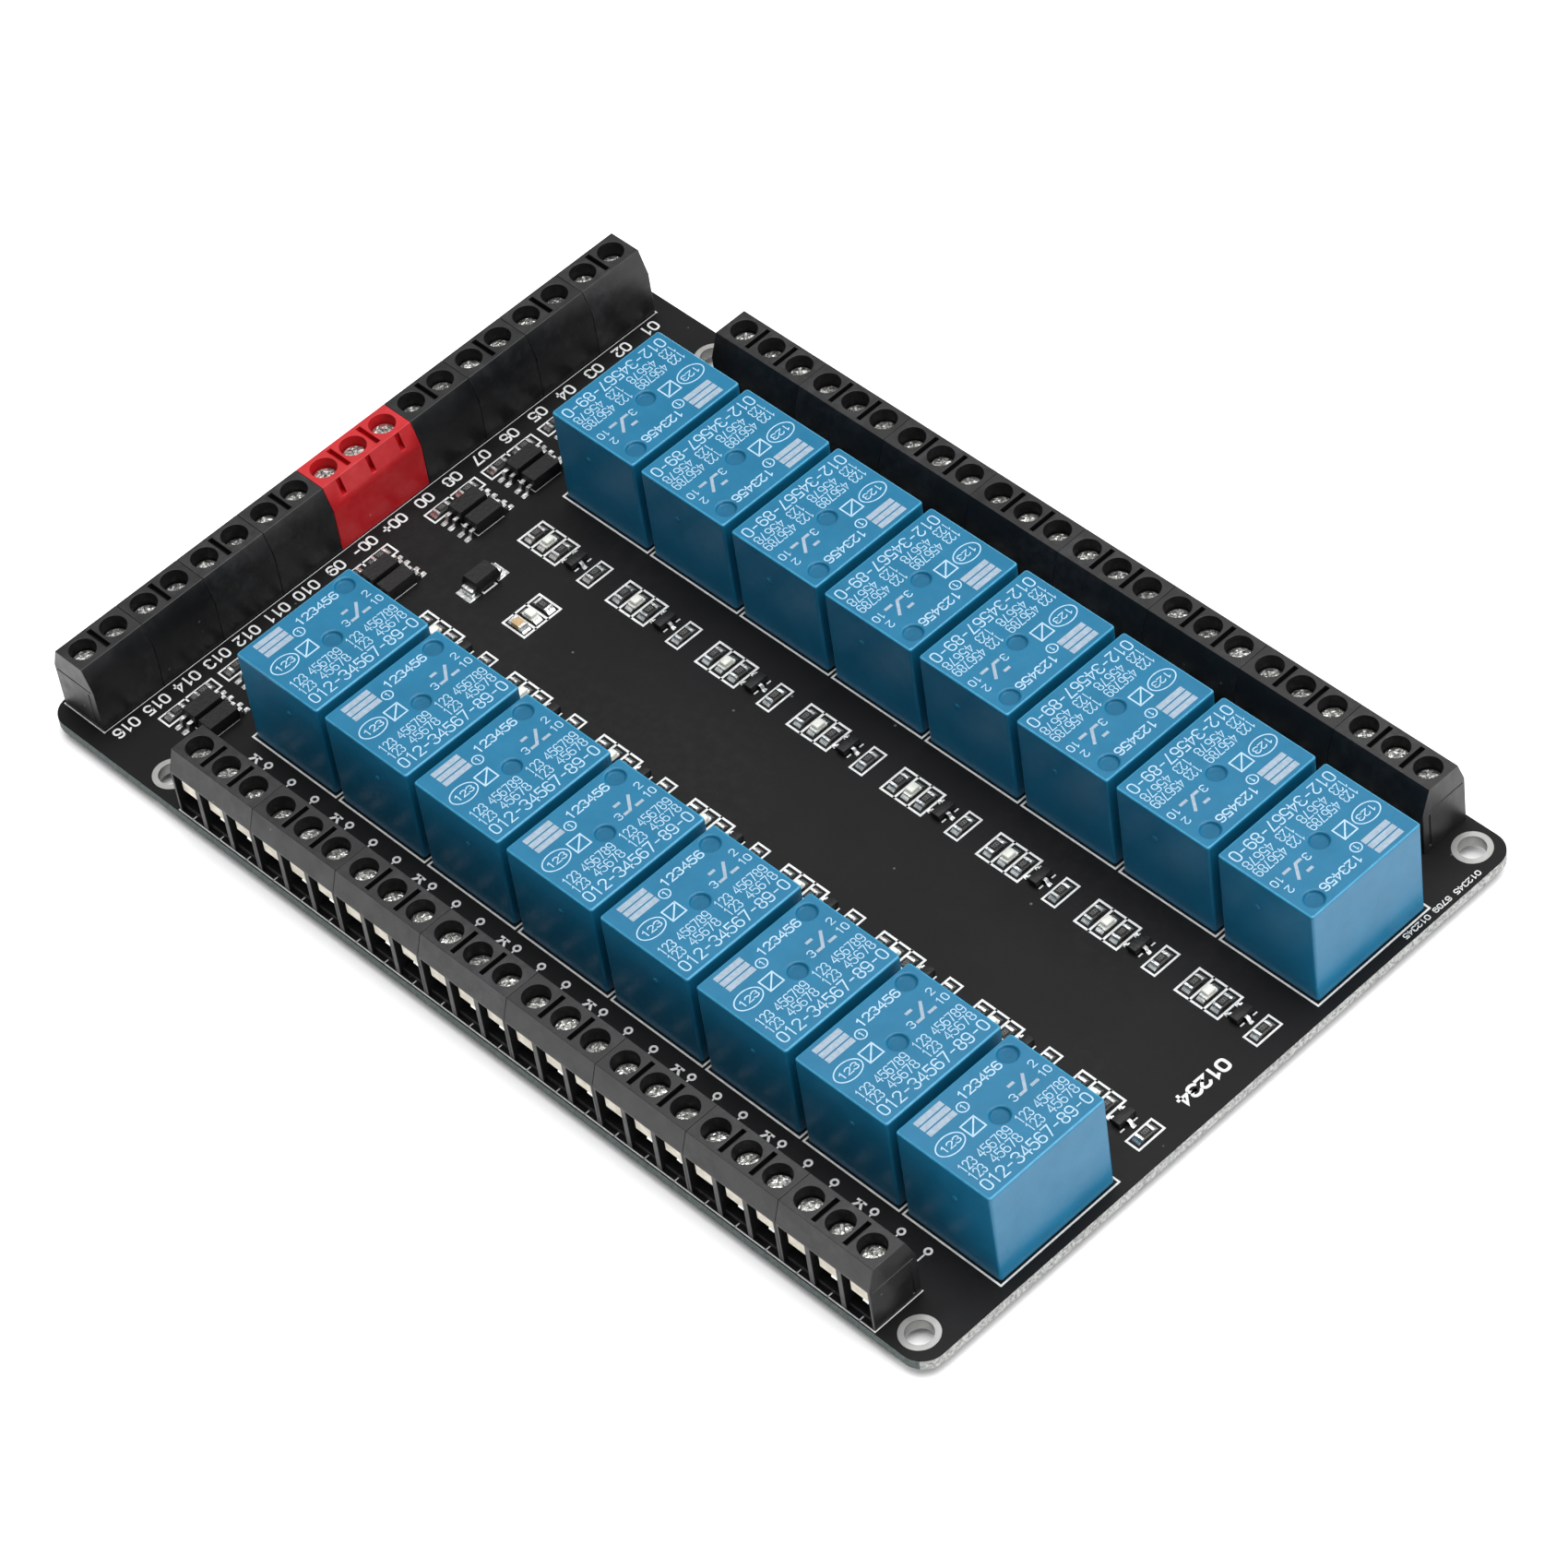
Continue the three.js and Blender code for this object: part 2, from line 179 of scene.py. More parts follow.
MASK = finish_material(
    "solder_mask", srgb(10, 10, 11), srgb(15, 15, 16), scale=60.0, rough=(0.42, 0.55), bump=0.04,
    specular=0.14, dust_and_sheen=(srgb(104, 105, 104), 0.02, 0.7, 300.0),
)
TRACE = finish_material(
    "mask_over_copper", srgb(21, 21, 22), srgb(26, 26, 27), scale=120.0, rough=(0.36, 0.46),
    specular=0.2,
)
LAMINATE = finish_material(
    "glass_laminate", srgb(100, 102, 100), srgb(172, 173, 171), scale=2600.0, rough=(0.6, 0.85),
    bump=0.5, bump_scale=4000.0, specular=0.3,
)
# a darker, greener copy of the laminate for the long edges: painted shade on the sides facing ±Y
LAMINATE_LONG_SHADED = finish_material(
    "glass_laminate_long_edge_painted_shade", srgb(50, 60, 58), srgb(80, 92, 90), scale=2200.0, rough=(0.5, 0.75),
    bump=0.4, bump_scale=3600.0, specular=0.3,
)
SILK = finish_material(
    "white_ink", srgb(176, 178, 178), srgb(202, 203, 202), scale=1500.0, rough=(0.5, 0.65), bump=0.1
)
RELAY_BLUE = finish_material(
    "relay_blue", srgb(15, 89, 121), srgb(20, 95, 128), scale=220.0, rough=(0.28, 0.38), bump=0.06,
    bump_scale=3500.0, specular=0.3,
)
# the dimple floors: a rougher blue, also darker than the cover as painted shade in the hollows
RELAY_DIMPLE_SHADED = finish_material(
    "relay_blue_matt_painted_shade", srgb(13, 79, 109), srgb(17, 85, 116), scale=500.0, rough=(0.45, 0.6), bump=0.2,
    specular=0.2,
)
RELAY_INK = finish_material(
    "relay_ink", srgb(134, 163, 182), srgb(156, 183, 200), scale=1800.0, rough=(0.45, 0.6), bump=0.1
)
RELAY_BAR = finish_material(
    "relay_bar_ink", srgb(118, 134, 148), srgb(134, 149, 163), scale=1800.0, rough=(0.5, 0.65),
    bump=0.1,
)
# a lighter blue for the cover's top rim: a painted highlight along the bevel
RELAY_EDGE_HIGHLIGHT = finish_material(
    "relay_blue_painted_edge_highlight", srgb(34, 116, 150), srgb(46, 130, 164), scale=900.0, rough=(0.25, 0.4), bump=0.1,
    specular=0.4,
)
RELAY_BASE = finish_material(
    "relay_base_plastic", srgb(22, 40, 60), srgb(30, 52, 76), scale=300.0, rough=(0.45, 0.6)
)
BLACK = finish_material(
    "housing_black", srgb(15, 15, 16), srgb(20, 20, 21), scale=160.0, rough=(0.3, 0.48), bump=0.06,
    bump_scale=3000.0, specular=0.4, dust_and_sheen=(srgb(112, 115, 119), 0.07, 0.7, 340.0),
)
# inside the wells, windows and grooves: a rougher, less glossy black, also darker as painted shade in the
# hollows
BLACK_INSIDE_SHADED = finish_material(
    "housing_black_inside_painted_shade", srgb(9, 9, 10), srgb(14, 14, 15), scale=400.0, rough=(0.5, 0.7), bump=0.2,
    specular=0.15,
)
RED = finish_material(
    "housing_red", srgb(150, 14, 20), srgb(160, 17, 24), scale=180.0, rough=(0.36, 0.48), bump=0.04,
    bump_scale=3000.0, specular=0.4, dust_and_sheen=(srgb(206, 120, 120), 0.05, 0.6, 360.0),
)
RED_INSIDE = finish_material(
    "housing_red_inside", srgb(146, 6, 13), srgb(172, 11, 19), scale=400.0, rough=(0.5, 0.7), bump=0.2,
    specular=0.15,
)
NICKEL = finish_material(
    "nickel_screw", srgb(120, 121, 118), srgb(252, 252, 249), scale=2000.0, rough=(0.24, 0.5),
    metal=1.0, bump=1.0, bump_scale=1900.0,
)
CLAMP = finish_material(
    "clamp_plate", srgb(186, 179, 164), srgb(214, 208, 195), scale=700.0, rough=(0.3, 0.45), metal=0.5,
    bump=0.15, bump_scale=1800.0,
)
SOLDER = finish_material(
    "solder", srgb(184, 186, 184), srgb(240, 242, 240), scale=1000.0, rough=(0.24, 0.44), metal=1.0,
    bump=0.5, bump_scale=1100.0,
)
RING = finish_material(
    "tinned_ring", srgb(146, 146, 144), srgb(162, 162, 160), scale=300.0, rough=(0.4, 0.5), metal=1.0,
    bump=0.06, bump_scale=900.0,
)
CHIP = finish_material(
    "chip_epoxy", srgb(12, 12, 13), srgb(18, 18, 19), scale=1400.0, rough=(0.45, 0.6), bump=0.3,
    specular=0.28,
)
LENS = finish_material(
    "led_lens", srgb(184, 186, 178), srgb(206, 207, 200), scale=900.0, rough=(0.25, 0.4), bump=0.1,
    coat=0.3,
)
CERAMIC = finish_material(
    "capacitor_ceramic", srgb(148, 121, 84), srgb(176, 149, 111), scale=1200.0, rough=(0.4, 0.55)
)
MARK = finish_material(
    "part_mark", srgb(70, 70, 68), srgb(86, 86, 84), scale=1500.0, rough=(0.5, 0.7), bump=0.1
)
COPPER = finish_material(
    "coil_wire", srgb(150, 72, 34), srgb(196, 104, 56), scale=500.0, rough=(0.3, 0.45), metal=0.7,
    bump=0.7, bump_scale=900.0, smear=(0.05, 0.05, 5.0),
)
IRON = finish_material(
    "relay_iron", srgb(140, 143, 146), srgb(182, 185, 187), scale=600.0, rough=(0.25, 0.42), metal=1.0,
    bump=0.25,
)
BRASS = finish_material(
    "contact_brass", srgb(190, 152, 78), srgb(222, 188, 112), scale=600.0, rough=(0.22, 0.4), metal=1.0,
    bump=0.2,
)
FLOOR = finish_material(
    "studio_floor", (0.93, 0.93, 0.93, 1), (0.95, 0.95, 0.95, 1), scale=3.0, rough=(0.9, 1.0), bump=0.0,
    specular=0.0,
)

# ---- geometry helpers


class Bits:
    """Closed pieces of geometry in millimetres, gathered into one mesh."""

    def __init__(self):
        self.points, self.faces, self.kinds = [], [], []

    def add(self, shape, kind=0, at=None):
        points, faces = shape
        start = len(self.points)
        for point in points:
            point = Vector(point)
            self.points.append(at @ point if at else point)
        self.faces.extend([[start + index for index in face] for face in faces])
        self.kinds.extend([kind] * len(faces))
        return self

    def mesh(self, name, materials, scale=MM):
        data = bpy.data.meshes.new(name)
        data.from_pydata([point * scale for point in self.points], [], self.faces)
        data.polygons.foreach_set("material_index", self.kinds)
        for material in materials:
            data.materials.append(material)
        work = bmesh.new()
        work.from_mesh(data)
        bmesh.ops.recalc_face_normals(work, faces=work.faces)
        work.to_mesh(data)
        work.free()
        data.shade_smooth()
        data.set_sharp_from_angle(angle=SMOOTH_ANGLE)
        return data


def prism(outline, low, high):
    """A straight-sided piece over an anticlockwise outline."""
    count = len(outline)
    points = [(x, y, low) for x, y in outline] + [(x, y, high) for x, y in outline]
    faces = [list(range(count))[::-1], list(range(count, 2 * count))]
    for index in range(count):
        after = (index + 1) % count
        faces.append([index, after, count + after, count + index])
    return points, faces


def box(low, high):
    outline = [(low[0], low[1]), (high[0], low[1]), (high[0], high[1]), (low[0], high[1])]
    return prism(outline, low[2], high[2])


def circle(x, y, radius, sides):
    turn = 2 * math.pi / sides
    return [(x + radius * math.cos(turn * i), y + radius * math.sin(turn * i)) for i in range(sides)]


def lathe(profile, sides, x=0.0, y=0.0):
    """A piece turned about an upright axis, from its (radius, height) outline, bottom to top."""
    points, faces, rings = [], [], []
    for radius, height in profile:
        if radius == 0:
            rings.append([len(points)] * sides)
            points.append((x, y, height))
        else:
            rings.append(list(range(len(points), len(points) + sides)))
            points.extend((px, py, height) for px, py in circle(x, y, radius, sides))
    for lower, upper in zip(rings, rings[1:]):
        for i in range(sides):
            after = (i + 1) % sides
            face = [lower[i], lower[after], upper[after], upper[i]]
            faces.append(list(dict.fromkeys(face)))
    return points, faces


def tube(x, y, inner, outer, low, high, sides=48):
    """A flat ring."""
    rims = circle(x, y, outer, sides) + circle(x, y, inner, sides)
    points = [(*rim, z) for z in (low, high) for rim in rims]
    faces = []
    for i in range(sides):
        j = (i + 1) % sides
        for start in (0, sides):
            faces.append([start + i, start + j, start + 2 * sides + j, start + 2 * sides + i])
        for start in (0, 2 * sides):
            faces.append([start + i, start + j, start + sides + j, start + sides + i])
    return points, faces


def rounded(low, high, radius, segments=2):
    """A box with rounded edges."""
    work = bmesh.new()
    size = Vector(high) - Vector(low)
    middle = (Vector(high) + Vector(low)) / 2
    shape = Matrix.Translation(middle) @ Matrix.Diagonal((*size, 1))
    bmesh.ops.create_cube(work, size=1, matrix=shape)
    edges = list(work.edges)
    bmesh.ops.bevel(work, geom=edges, offset=radius, segments=segments, profile=0.5, affect="EDGES")
    points = [vertex.co.copy() for vertex in work.verts]
    faces = [[vertex.index for vertex in face.verts] for face in work.faces]
    work.free()
    return points, faces


def stacked(layers):
    """A body through three rectangles, each (half width, half length, height), bottom to top."""
    points, faces = [], []
    for x, y, z in layers:
        points += [(-x, -y, z), (x, -y, z), (x, y, z), (-x, y, z)]
    for base in (0, 4):
        for i in range(4):
            j = (i + 1) % 4
            faces.append([base + i, base + j, base + 4 + j, base + 4 + i])
    return points, faces + [[3, 2, 1, 0], [8, 9, 10, 11]]


def smoothed(line, closed):
    """Cuts the corners of a line twice so that it curves."""
    for _ in range(2):
        pairs = list(zip(line, line[1:] + line[:1] if closed else line[1:]))
        cut = []
        for (ax, ay), (bx, by) in pairs:
            cut.append((0.75 * ax + 0.25 * bx, 0.75 * ay + 0.25 * by))
            cut.append((0.25 * ax + 0.75 * bx, 0.25 * ay + 0.75 * by))
        line = cut if closed else [line[0]] + cut[1:-1] + [line[-1]]
    return line


def ribbon(line, width, low, high, closed=False):
    """A printed line: a flat strip of even width that follows the points."""
    count = len(line)
    sides = []
    for i, (x, y) in enumerate(line):
        before = Vector(line[i - 1]) if closed or i else None
        after = Vector(line[(i + 1) % count]) if closed or i < count - 1 else None
        here = Vector((x, y))
        into = (here - before).normalized() if before is not None else None
        out = (after - here).normalized() if after is not None else None
        into, out = into or out, out or into
        along = (into + out).normalized() if (into + out).length > 1e-6 else into
        across = Vector((-along.y, along.x))
        reach = min(width / 2 / max(across.dot(Vector((-into.y, into.x))), 0.4), width)
        end = Vector((0, 0))
        if not closed and i in (0, count - 1):
            end = (-out if i == 0 else into) * width / 2
        sides.append((here + end + across * reach, here + end - across * reach))
    points, faces = [], []
    for left, right in sides:
        points += [(*left, low), (*right, low), (*right, high), (*left, high)]
    for i in range(count if closed else count - 1):
        a, b = 4 * i, 4 * ((i + 1) % count)
        for j in range(4):
            k = (j + 1) % 4
            faces.append([a + j, a + k, b + k, b + j])
    if not closed:
        end = 4 * (count - 1)
        faces += [[3, 2, 1, 0], [end, end + 1, end + 2, end + 3]]
    return points, faces


# Digits and signs as strokes on a grid 4 wide and 6 high: (curved, closed, points).
ROUND_ZERO = [(0, 1), (0, 5), (1, 6), (3, 6), (4, 5), (4, 1), (3, 0), (1, 0)]
SIX_LINE = [(3.7, 5.4), (3, 6), (1, 6), (0, 5), (0, 1), (1, 0), (3, 0), (4, 1), (4, 2.6), (3, 3.5)]
SIX_LINE += [(1, 3.5), (0, 2.6)]
THREE_TOP = [(0, 5.1), (1, 6), (3, 6), (4, 5), (4, 4), (3, 3.1), (1.6, 3.1)]
THREE_LOW = [(1.6, 3.1), (3, 3.1), (4, 2.2), (4, 1), (3, 0), (1, 0), (0, 0.9)]
EIGHT_TOP = [(1, 3.1), (0.2, 3.9), (0.2, 5.2), (1, 6), (3, 6), (3.8, 5.2), (3.8, 3.9), (3, 3.1)]
EIGHT_LOW = [(1, 3.1), (3, 3.1), (4, 2.2), (4, 1), (3, 0), (1, 0), (0, 1), (0, 2.2)]
GLYPHS = {
    "0": [(True, True, ROUND_ZERO)],
    "1": [(False, False, [(0.9, 4.9), (2.2, 6), (2.2, 0)])],
    "2": [(True, False, [(0, 4.8), (0.9, 6), (3.1, 6), (4, 5), (4, 3.9), (2, 2)]),
          (False, False, [(2, 2), (0, 0), (4, 0)])],
    "3": [(True, False, THREE_TOP), (True, False, THREE_LOW)],
    "4": [(False, False, [(3, 0), (3, 6), (0, 1.8), (4.2, 1.8)])],
    "5": [(False, False, [(3.8, 6), (0.5, 6), (0.2, 3.4)]),
          (True, False, [(0.2, 3.4), (1.2, 3.8), (3, 3.8), (4, 2.8), (4, 1), (3, 0), (1, 0), (0, 0.9)])],
    "6": [(True, False, SIX_LINE)],
    "7": [(False, False, [(0, 6), (4, 6), (1.4, 0)])],
    "8": [(True, True, EIGHT_TOP), (True, True, EIGHT_LOW)],
    "9": [(True, False, [(4 - x, 6 - y) for x, y in SIX_LINE])],
    "-": [(False, False, [(0.8, 3), (3.2, 3)])],
    "+": [(False, False, [(0.2, 3), (3.8, 3)]), (False, False, [(2, 1.2), (2, 4.8)])],
}


def write(bits, text, start, end, foot, cap, stroke, low, high, kind=0):
    """Writes text with its glyph tops towards -X: from start to end along Y, from foot to cap along X."""
    advance = (end - start + 0.3 * (end - start) / len(text)) / len(text)
    wide = advance / 1.3
    for index, letter in enumerate(text):
        for curved, closed, line in GLYPHS.get(letter, []):
            line = smoothed(line, closed) if curved else line
            placed = [(foot + (cap - foot) * y / 6, start + advance * index + wide * x / 4) for x, y in line]
            bits.add(ribbon(placed, stroke, low, high, closed), kind)


def evaluated(mesh, *modifiers, tools=None):
    """The mesh after boolean cuts and other modifiers, with their tools removed again."""
    scene = bpy.context.scene.collection
    target = bpy.data.objects.new("shaping", mesh)
    scene.objects.link(target)
    spare = [target]
    if tools:
        cutter = bpy.data.objects.new("cutter", tools)
        scene.objects.link(cutter)
        spare.append(cutter)
        cut = target.modifiers.new("cut", "BOOLEAN")
        cut.operation, cut.solver, cut.object = "DIFFERENCE", "EXACT", cutter
    for kind, settings in modifiers:
        modifier = target.modifiers.new(kind.lower(), kind)
        for key, value in settings.items():
            setattr(modifier, key, value)
    bpy.context.view_layer.update()
    graph = bpy.context.evaluated_depsgraph_get()
    result = bpy.data.meshes.new_from_object(target.evaluated_get(graph))
    for item in spare:
        bpy.data.objects.remove(item)
    return result


def softened(width, segments):
    """A bevel of the sharp edges, with shading that keeps the flats flat."""
    bevel = {
        "width": width, "segments": segments, "limit_method": "ANGLE", "angle_limit": BEVEL_ANGLE,
        "use_clamp_overlap": False, "miter_outer": "MITER_ARC",
    }
    return ("BEVEL", bevel), ("WEIGHTED_NORMAL", {"keep_sharp": True, "weight": 60})


def carve(name, body, tools, materials, width, segments=2):
    """A moulded piece in metres: the body less the tools, its edges softened."""
    shape = body.mesh(name + "_body", materials, scale=1.0)
    for index, cutters in enumerate(tools):
        shape = evaluated(shape, tools=cutters.mesh(f"{name}_tools_{index}", [], scale=1.0))
    shape.set_sharp_from_angle(angle=SMOOTH_ANGLE)
    shape = evaluated(shape, *softened(width, segments))
    shape.transform(Matrix.Scale(MM, 4))
    shape.name = name
    return shape


def joined(mesh, other):
    """Adds the second mesh's faces to the first."""
    work = bmesh.new()
    work.from_mesh(mesh)
    work.from_mesh(other)
    work.to_mesh(mesh)
    work.free()
    return mesh


def place(name, mesh, body="board", at=None, replaces=()):
    """Puts a piece in the scene, on its body; `at` is in millimetres."""
    piece = bpy.data.objects.new(name, mesh)
    bpy.context.scene.collection.objects.link(piece)
    if at is not None:
        turn = at.to_3x3().to_4x4()
        piece.matrix_world = Matrix.Translation(at.to_translation() * MM) @ turn
    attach(piece, body)
    if replaces:
        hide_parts(*replaces)
    return piece


def standing(x, y, z, turn=0.0):
    return Matrix.Translation((x, y, z)) @ Matrix.Rotation(turn, 4, "Z")


# ---- layout, from the CAD boxes

RELAYS = {}
for channel in range(1, 17):
    low, high = corners(f"relay_{channel:02d}_cover")
    RELAYS[channel] = ((low.x + high.x) / 2, (low.y + high.y) / 2, math.pi if channel < 9 else 0.0)
RELAY_LOW, RELAY_HIGH = corners("relay_01_cover")
RELAY_SIZE = RELAY_HIGH - RELAY_LOW

HOUSING_BACK = -4.0
HOUSING_FRONT = 3.5
HALF_GAP = 0.06
SEAM = 0.03


def housing_place(node, side):
    """The frame of a terminal block: X along its poles, Y out towards the wires."""
    low, high = corners(node)
    if side == "right":
        return standing(low.x - HALF_GAP, low.y - HOUSING_BACK, BOARD_TOP)
    if side == "left":
        return standing(high.x + HALF_GAP, high.y + HOUSING_BACK, BOARD_TOP, math.pi)
    return standing(high.x + HOUSING_BACK, low.y - HALF_GAP, BOARD_TOP, math.pi / 2)


BLOCKS = []
for channel in range(1, 17):
    node = f"output_terminal_{channel:02d}"
    BLOCKS.append((node, 3, housing_place(node, "right" if channel < 9 else "left")))
for first in range(1, 17, 2):
    node = f"input_terminal_{first:02d}_{first + 1:02d}"
    BLOCKS.append((node, 2, housing_place(node, "near")))
BLOCKS.append(("supply_terminal", 3, housing_place("supply_terminal", "near")))

# ---- circuit board

CORNER = 3.2
HOLE_RADIUS = 1.75
RING_RADIUS = 2.55
HOLES = [(x, y) for x in (73.65, -57.4) for y in (-47.2, 47.2)]
HOLE_WALL_REACH = 2.2


def rounded_outline(low, high, radius, steps=10):
    points = []
    for cx, cy, start in (
        (high.x - radius, low.y + radius, -90),
        (high.x - radius, high.y - radius, 0),
        (low.x + radius, high.y - radius, 90),
        (low.x + radius, low.y + radius, 180),
    ):
        for step in range(steps + 1):
            angle = math.radians(start + 90 * step / steps)
            points.append((cx + radius * math.cos(angle), cy + radius * math.sin(angle)))
    return points


def make_board():
    outline = rounded_outline(BOARD_LOW, BOARD_HIGH, CORNER)
    plate = Bits().add(prism(outline, BOARD_UNDER, BOARD_TOP))
    drills = Bits()
    for x, y in HOLES:
        drills.add(prism(circle(x, y, HOLE_RADIUS, 48), -1, BOARD_TOP + 1))
    mesh = carve("circuit_board_plate", plate, [drills], [MASK, LAMINATE, RING, LAMINATE_LONG_SHADED], 0.05, 1)
    for face in mesh.polygons:
        if abs(face.normal.z) < 0.5:
            middle = face.center / MM
            near_hole = any(math.hypot(middle.x - x, middle.y - y) < HOLE_WALL_REACH for x, y in HOLES)
            # edge faces: tin in the holes, the darker laminate on the long ±Y edges as painted shade, plain
            # laminate elsewhere
            face.material_index = 2 if near_hole else 3 if abs(face.normal.y) > 0.8 else 1
    place("circuit_board_plate", mesh, replaces=["circuit_board"])
    rings = Bits()
    for x, y in HOLES:
        rings.add(tube(x, y, HOLE_RADIUS + 0.02, RING_RADIUS, BOARD_TOP - 0.02, BOARD_TOP + 0.04))
        rings.add(tube(x, y, HOLE_RADIUS + 0.02, RING_RADIUS, BOARD_UNDER - 0.04, BOARD_UNDER + 0.02))
    place("mounting_hole_rings", rings.mesh("mounting_hole_rings", [RING]))


def solder_joints():
    profile = [(0.0, 0.0), (0.3, 0.02), (0.38, 0.12), (0.4, 0.45), (0.5, 0.75), (0.7, 1.05)]
    profile += [(0.95, 1.35), (1.1, BOARD_UNDER), (0.0, BOARD_UNDER + 0.01)]
    joints = Bits()
    for x, y in pin_places():
        joints.add(lathe(profile, 14, x, y))
    place("solder_joints", joints.mesh("solder_joints", [SOLDER]))


RELAY_PINS = [(-6.0, -7.1), (6.0, -7.1), (0.0, 7.1), (-6.0, 5.1), (6.0, 5.1)]


def relay_pin(channel, index):
    x, y, turn = RELAYS[channel]
    spot = standing(x, y, 0, turn) @ Vector((*RELAY_PINS[index], 0))
    return spot.x, spot.y


def pole(frame_matrix, index):
    spot = frame_matrix @ Vector(((index + 0.5) * PITCH, 0, 0))
    return spot.x, spot.y


def pin_places():
    pins = [relay_pin(channel, index) for channel in RELAYS for index in range(5)]
    return pins + [pole(at, index) for _, poles, at in BLOCKS for index in range(poles)]


RUN_WIDTH = 1.6


def copper():
    """Copper under the mask of the underside: a run from each output pole to its relay's pin."""
    runs = Bits()
    for node, _, at in BLOCKS:
        if not node.startswith("output"):
            continue
        channel = int(node[-2:])
        for index, pin in ((0, 1), (1, 2), (2, 0)):
            (ax, ay), (bx, by) = pole(at, index), relay_pin(channel, pin)
            away = 1 if ay > 0 else -1
            knee = ay - away * (3.4 + 0.5 * index)
            line = [(ax, ay), (ax, knee), (bx, knee - away * abs(bx - ax) * 0.6), (bx, by)]
            runs.add(ribbon(line, RUN_WIDTH, BOARD_UNDER - 0.03, BOARD_UNDER + 0.02))
    place("copper_runs", runs.mesh("copper_runs", [TRACE]))


# ---- printed lines on the board

INK_LOW = BOARD_TOP - 0.01
INK_HIGH = BOARD_TOP + 0.03
INK = 0.25
RELAY_FRAME = (15.96, 19.85)
OUTLINE_OUT = 3.6
OUTLINE_BACK = -4.1
TICK = 1.5
SIGN_OUT = -8.5
SUPPLY_X = -42.05
SUPPLY_FRAME_X = (-44.05, -40.05)
SUPPLY_FRAME_Y = (-2.95, 3.42)
SUPPLY_DIVIDERS = (-0.98, 1.16)
PAIR_X = (-65.78, -63.74)
PAIR_LENGTH = 8.8
PAIRS_Y = [3.35, 13.38, 23.44, 33.5, -42.2, -32.15, -22.1, -11.98]
CLUSTER_MIDDLE = 0.2
CLUSTER_Y = (7.95, 12.25)


def line_on_board(bits, points, width=INK, closed=False):
    bits.add(ribbon(points, width, INK_LOW, INK_HIGH, closed))


def frame_on_board(bits, x0, y0, x1, y1, width=INK):
    line_on_board(bits, [(x0, y0), (x1, y0), (x1, y1), (x0, y1)], width, closed=True)


def cluster_side(channel):
    """+1 for the +Y row of relays, -1 for the other."""
    return 1 if channel < 9 else -1


def contact_sign(ink, middle, side):
    """Three ringed pins and a cross, printed behind each output terminal."""
    for offset in (-4.5, -0.15, 4.2):
        x = middle.x + offset
        line_on_board(ink, circle(x, middle.y, 0.43, 20), 0.28, closed=True)
        line_on_board(ink, [(x, middle.y + side * 0.6), (x, middle.y + side * 1.7)], 0.2)
    x, y = middle.x - 6.62, middle.y - side * 0.1
    line_on_board(ink, [(x - 0.6, y), (x + 0.6, y)], 0.3)
    for lean in (-0.56, 0.56):
        line_on_board(ink, [(x, y + side * 0.1), (x + lean, y + side * 0.9)], 0.34)


def output_row_lines(ink, ends, side):
    """The outline of a row of output terminals, a tick at each window, and the contact signs."""
    starts = [at @ Vector((0, 0, 0)) for at in ends] + [at @ Vector((3 * PITCH, 0, 0)) for at in ends]
    x0, x1 = min(p.x for p in starts), max(p.x for p in starts)
    out, back = ((ends[0] @ Vector((0, y, 0))).y for y in (OUTLINE_OUT, OUTLINE_BACK))
    if side > 0:
        line_on_board(ink, [(x0 + 1, out), (x1 - 1, out)])
    else:
        line_on_board(ink, [(x0, back), (x0, out), (x1, out), (x1, back)], 0.18)
    for at in ends:
        for index in range(3):
            a, b = (at @ Vector(((index + 0.5) * PITCH, y, 0)) for y in (OUTLINE_OUT, OUTLINE_OUT - TICK))
            line_on_board(ink, [(a.x, a.y), (b.x, b.y)], 0.16)
        contact_sign(ink, at @ Vector((1.5 * PITCH, SIGN_OUT, 0)), side)


def input_row_lines(ink, inputs):
    low_y = min((at @ Vector((0, 0, 0))).y for at in inputs)
    high_y = max((at @ Vector((2 * PITCH, 0, 0))).y for at in inputs)
    inner, outer = ((inputs[0] @ Vector((0, y, 0))).x for y in (HOUSING_BACK - 0.2, OUTLINE_OUT))
    line_on_board(ink, [(inner, low_y), (inner, high_y)], 0.08)
    for y in (low_y, high_y):
        line_on_board(ink, [(inner, y), (outer, y)], 0.2)


def supply_lines(ink):
    """The frame of the supply's three small parts, and the hook beside its diode."""
    x0, x1 = SUPPLY_FRAME_X
    frame_on_board(ink, x0, SUPPLY_FRAME_Y[0], x1, SUPPLY_FRAME_Y[1], 0.3)
    for y in SUPPLY_DIVIDERS:
        line_on_board(ink, [(x0, y), (x1, y)], 0.34)
    line_on_board(ink, [(-49.95, -1.0), (-49.68, -1.0), (-49.68, 1.12), (-49.95, 1.12)])


def printed_lines():
    ink = Bits()
    half_x, half_y = RELAY_FRAME[0] / 2 - INK / 2, RELAY_FRAME[1] / 2 - INK / 2
    for x, y, _ in RELAYS.values():
        frame_on_board(ink, x - half_x, y - half_y, x + half_x, y + half_y)
    outputs = [at for node, _, at in BLOCKS if node.startswith("output")]
    output_row_lines(ink, outputs[:8], 1)
    output_row_lines(ink, outputs[8:], -1)
    input_row_lines(ink, [at for node, _, at in BLOCKS if not node.startswith("output")])
    label_inputs(ink)
    for base in PAIRS_Y:
        opto_outline(ink, base)
    for channel, (x, _, _) in RELAYS.items():
        cluster_outline(ink, x, cluster_side(channel))
    supply_lines(ink)
    place("printed_lines", ink.mesh("printed_lines", [SILK]))


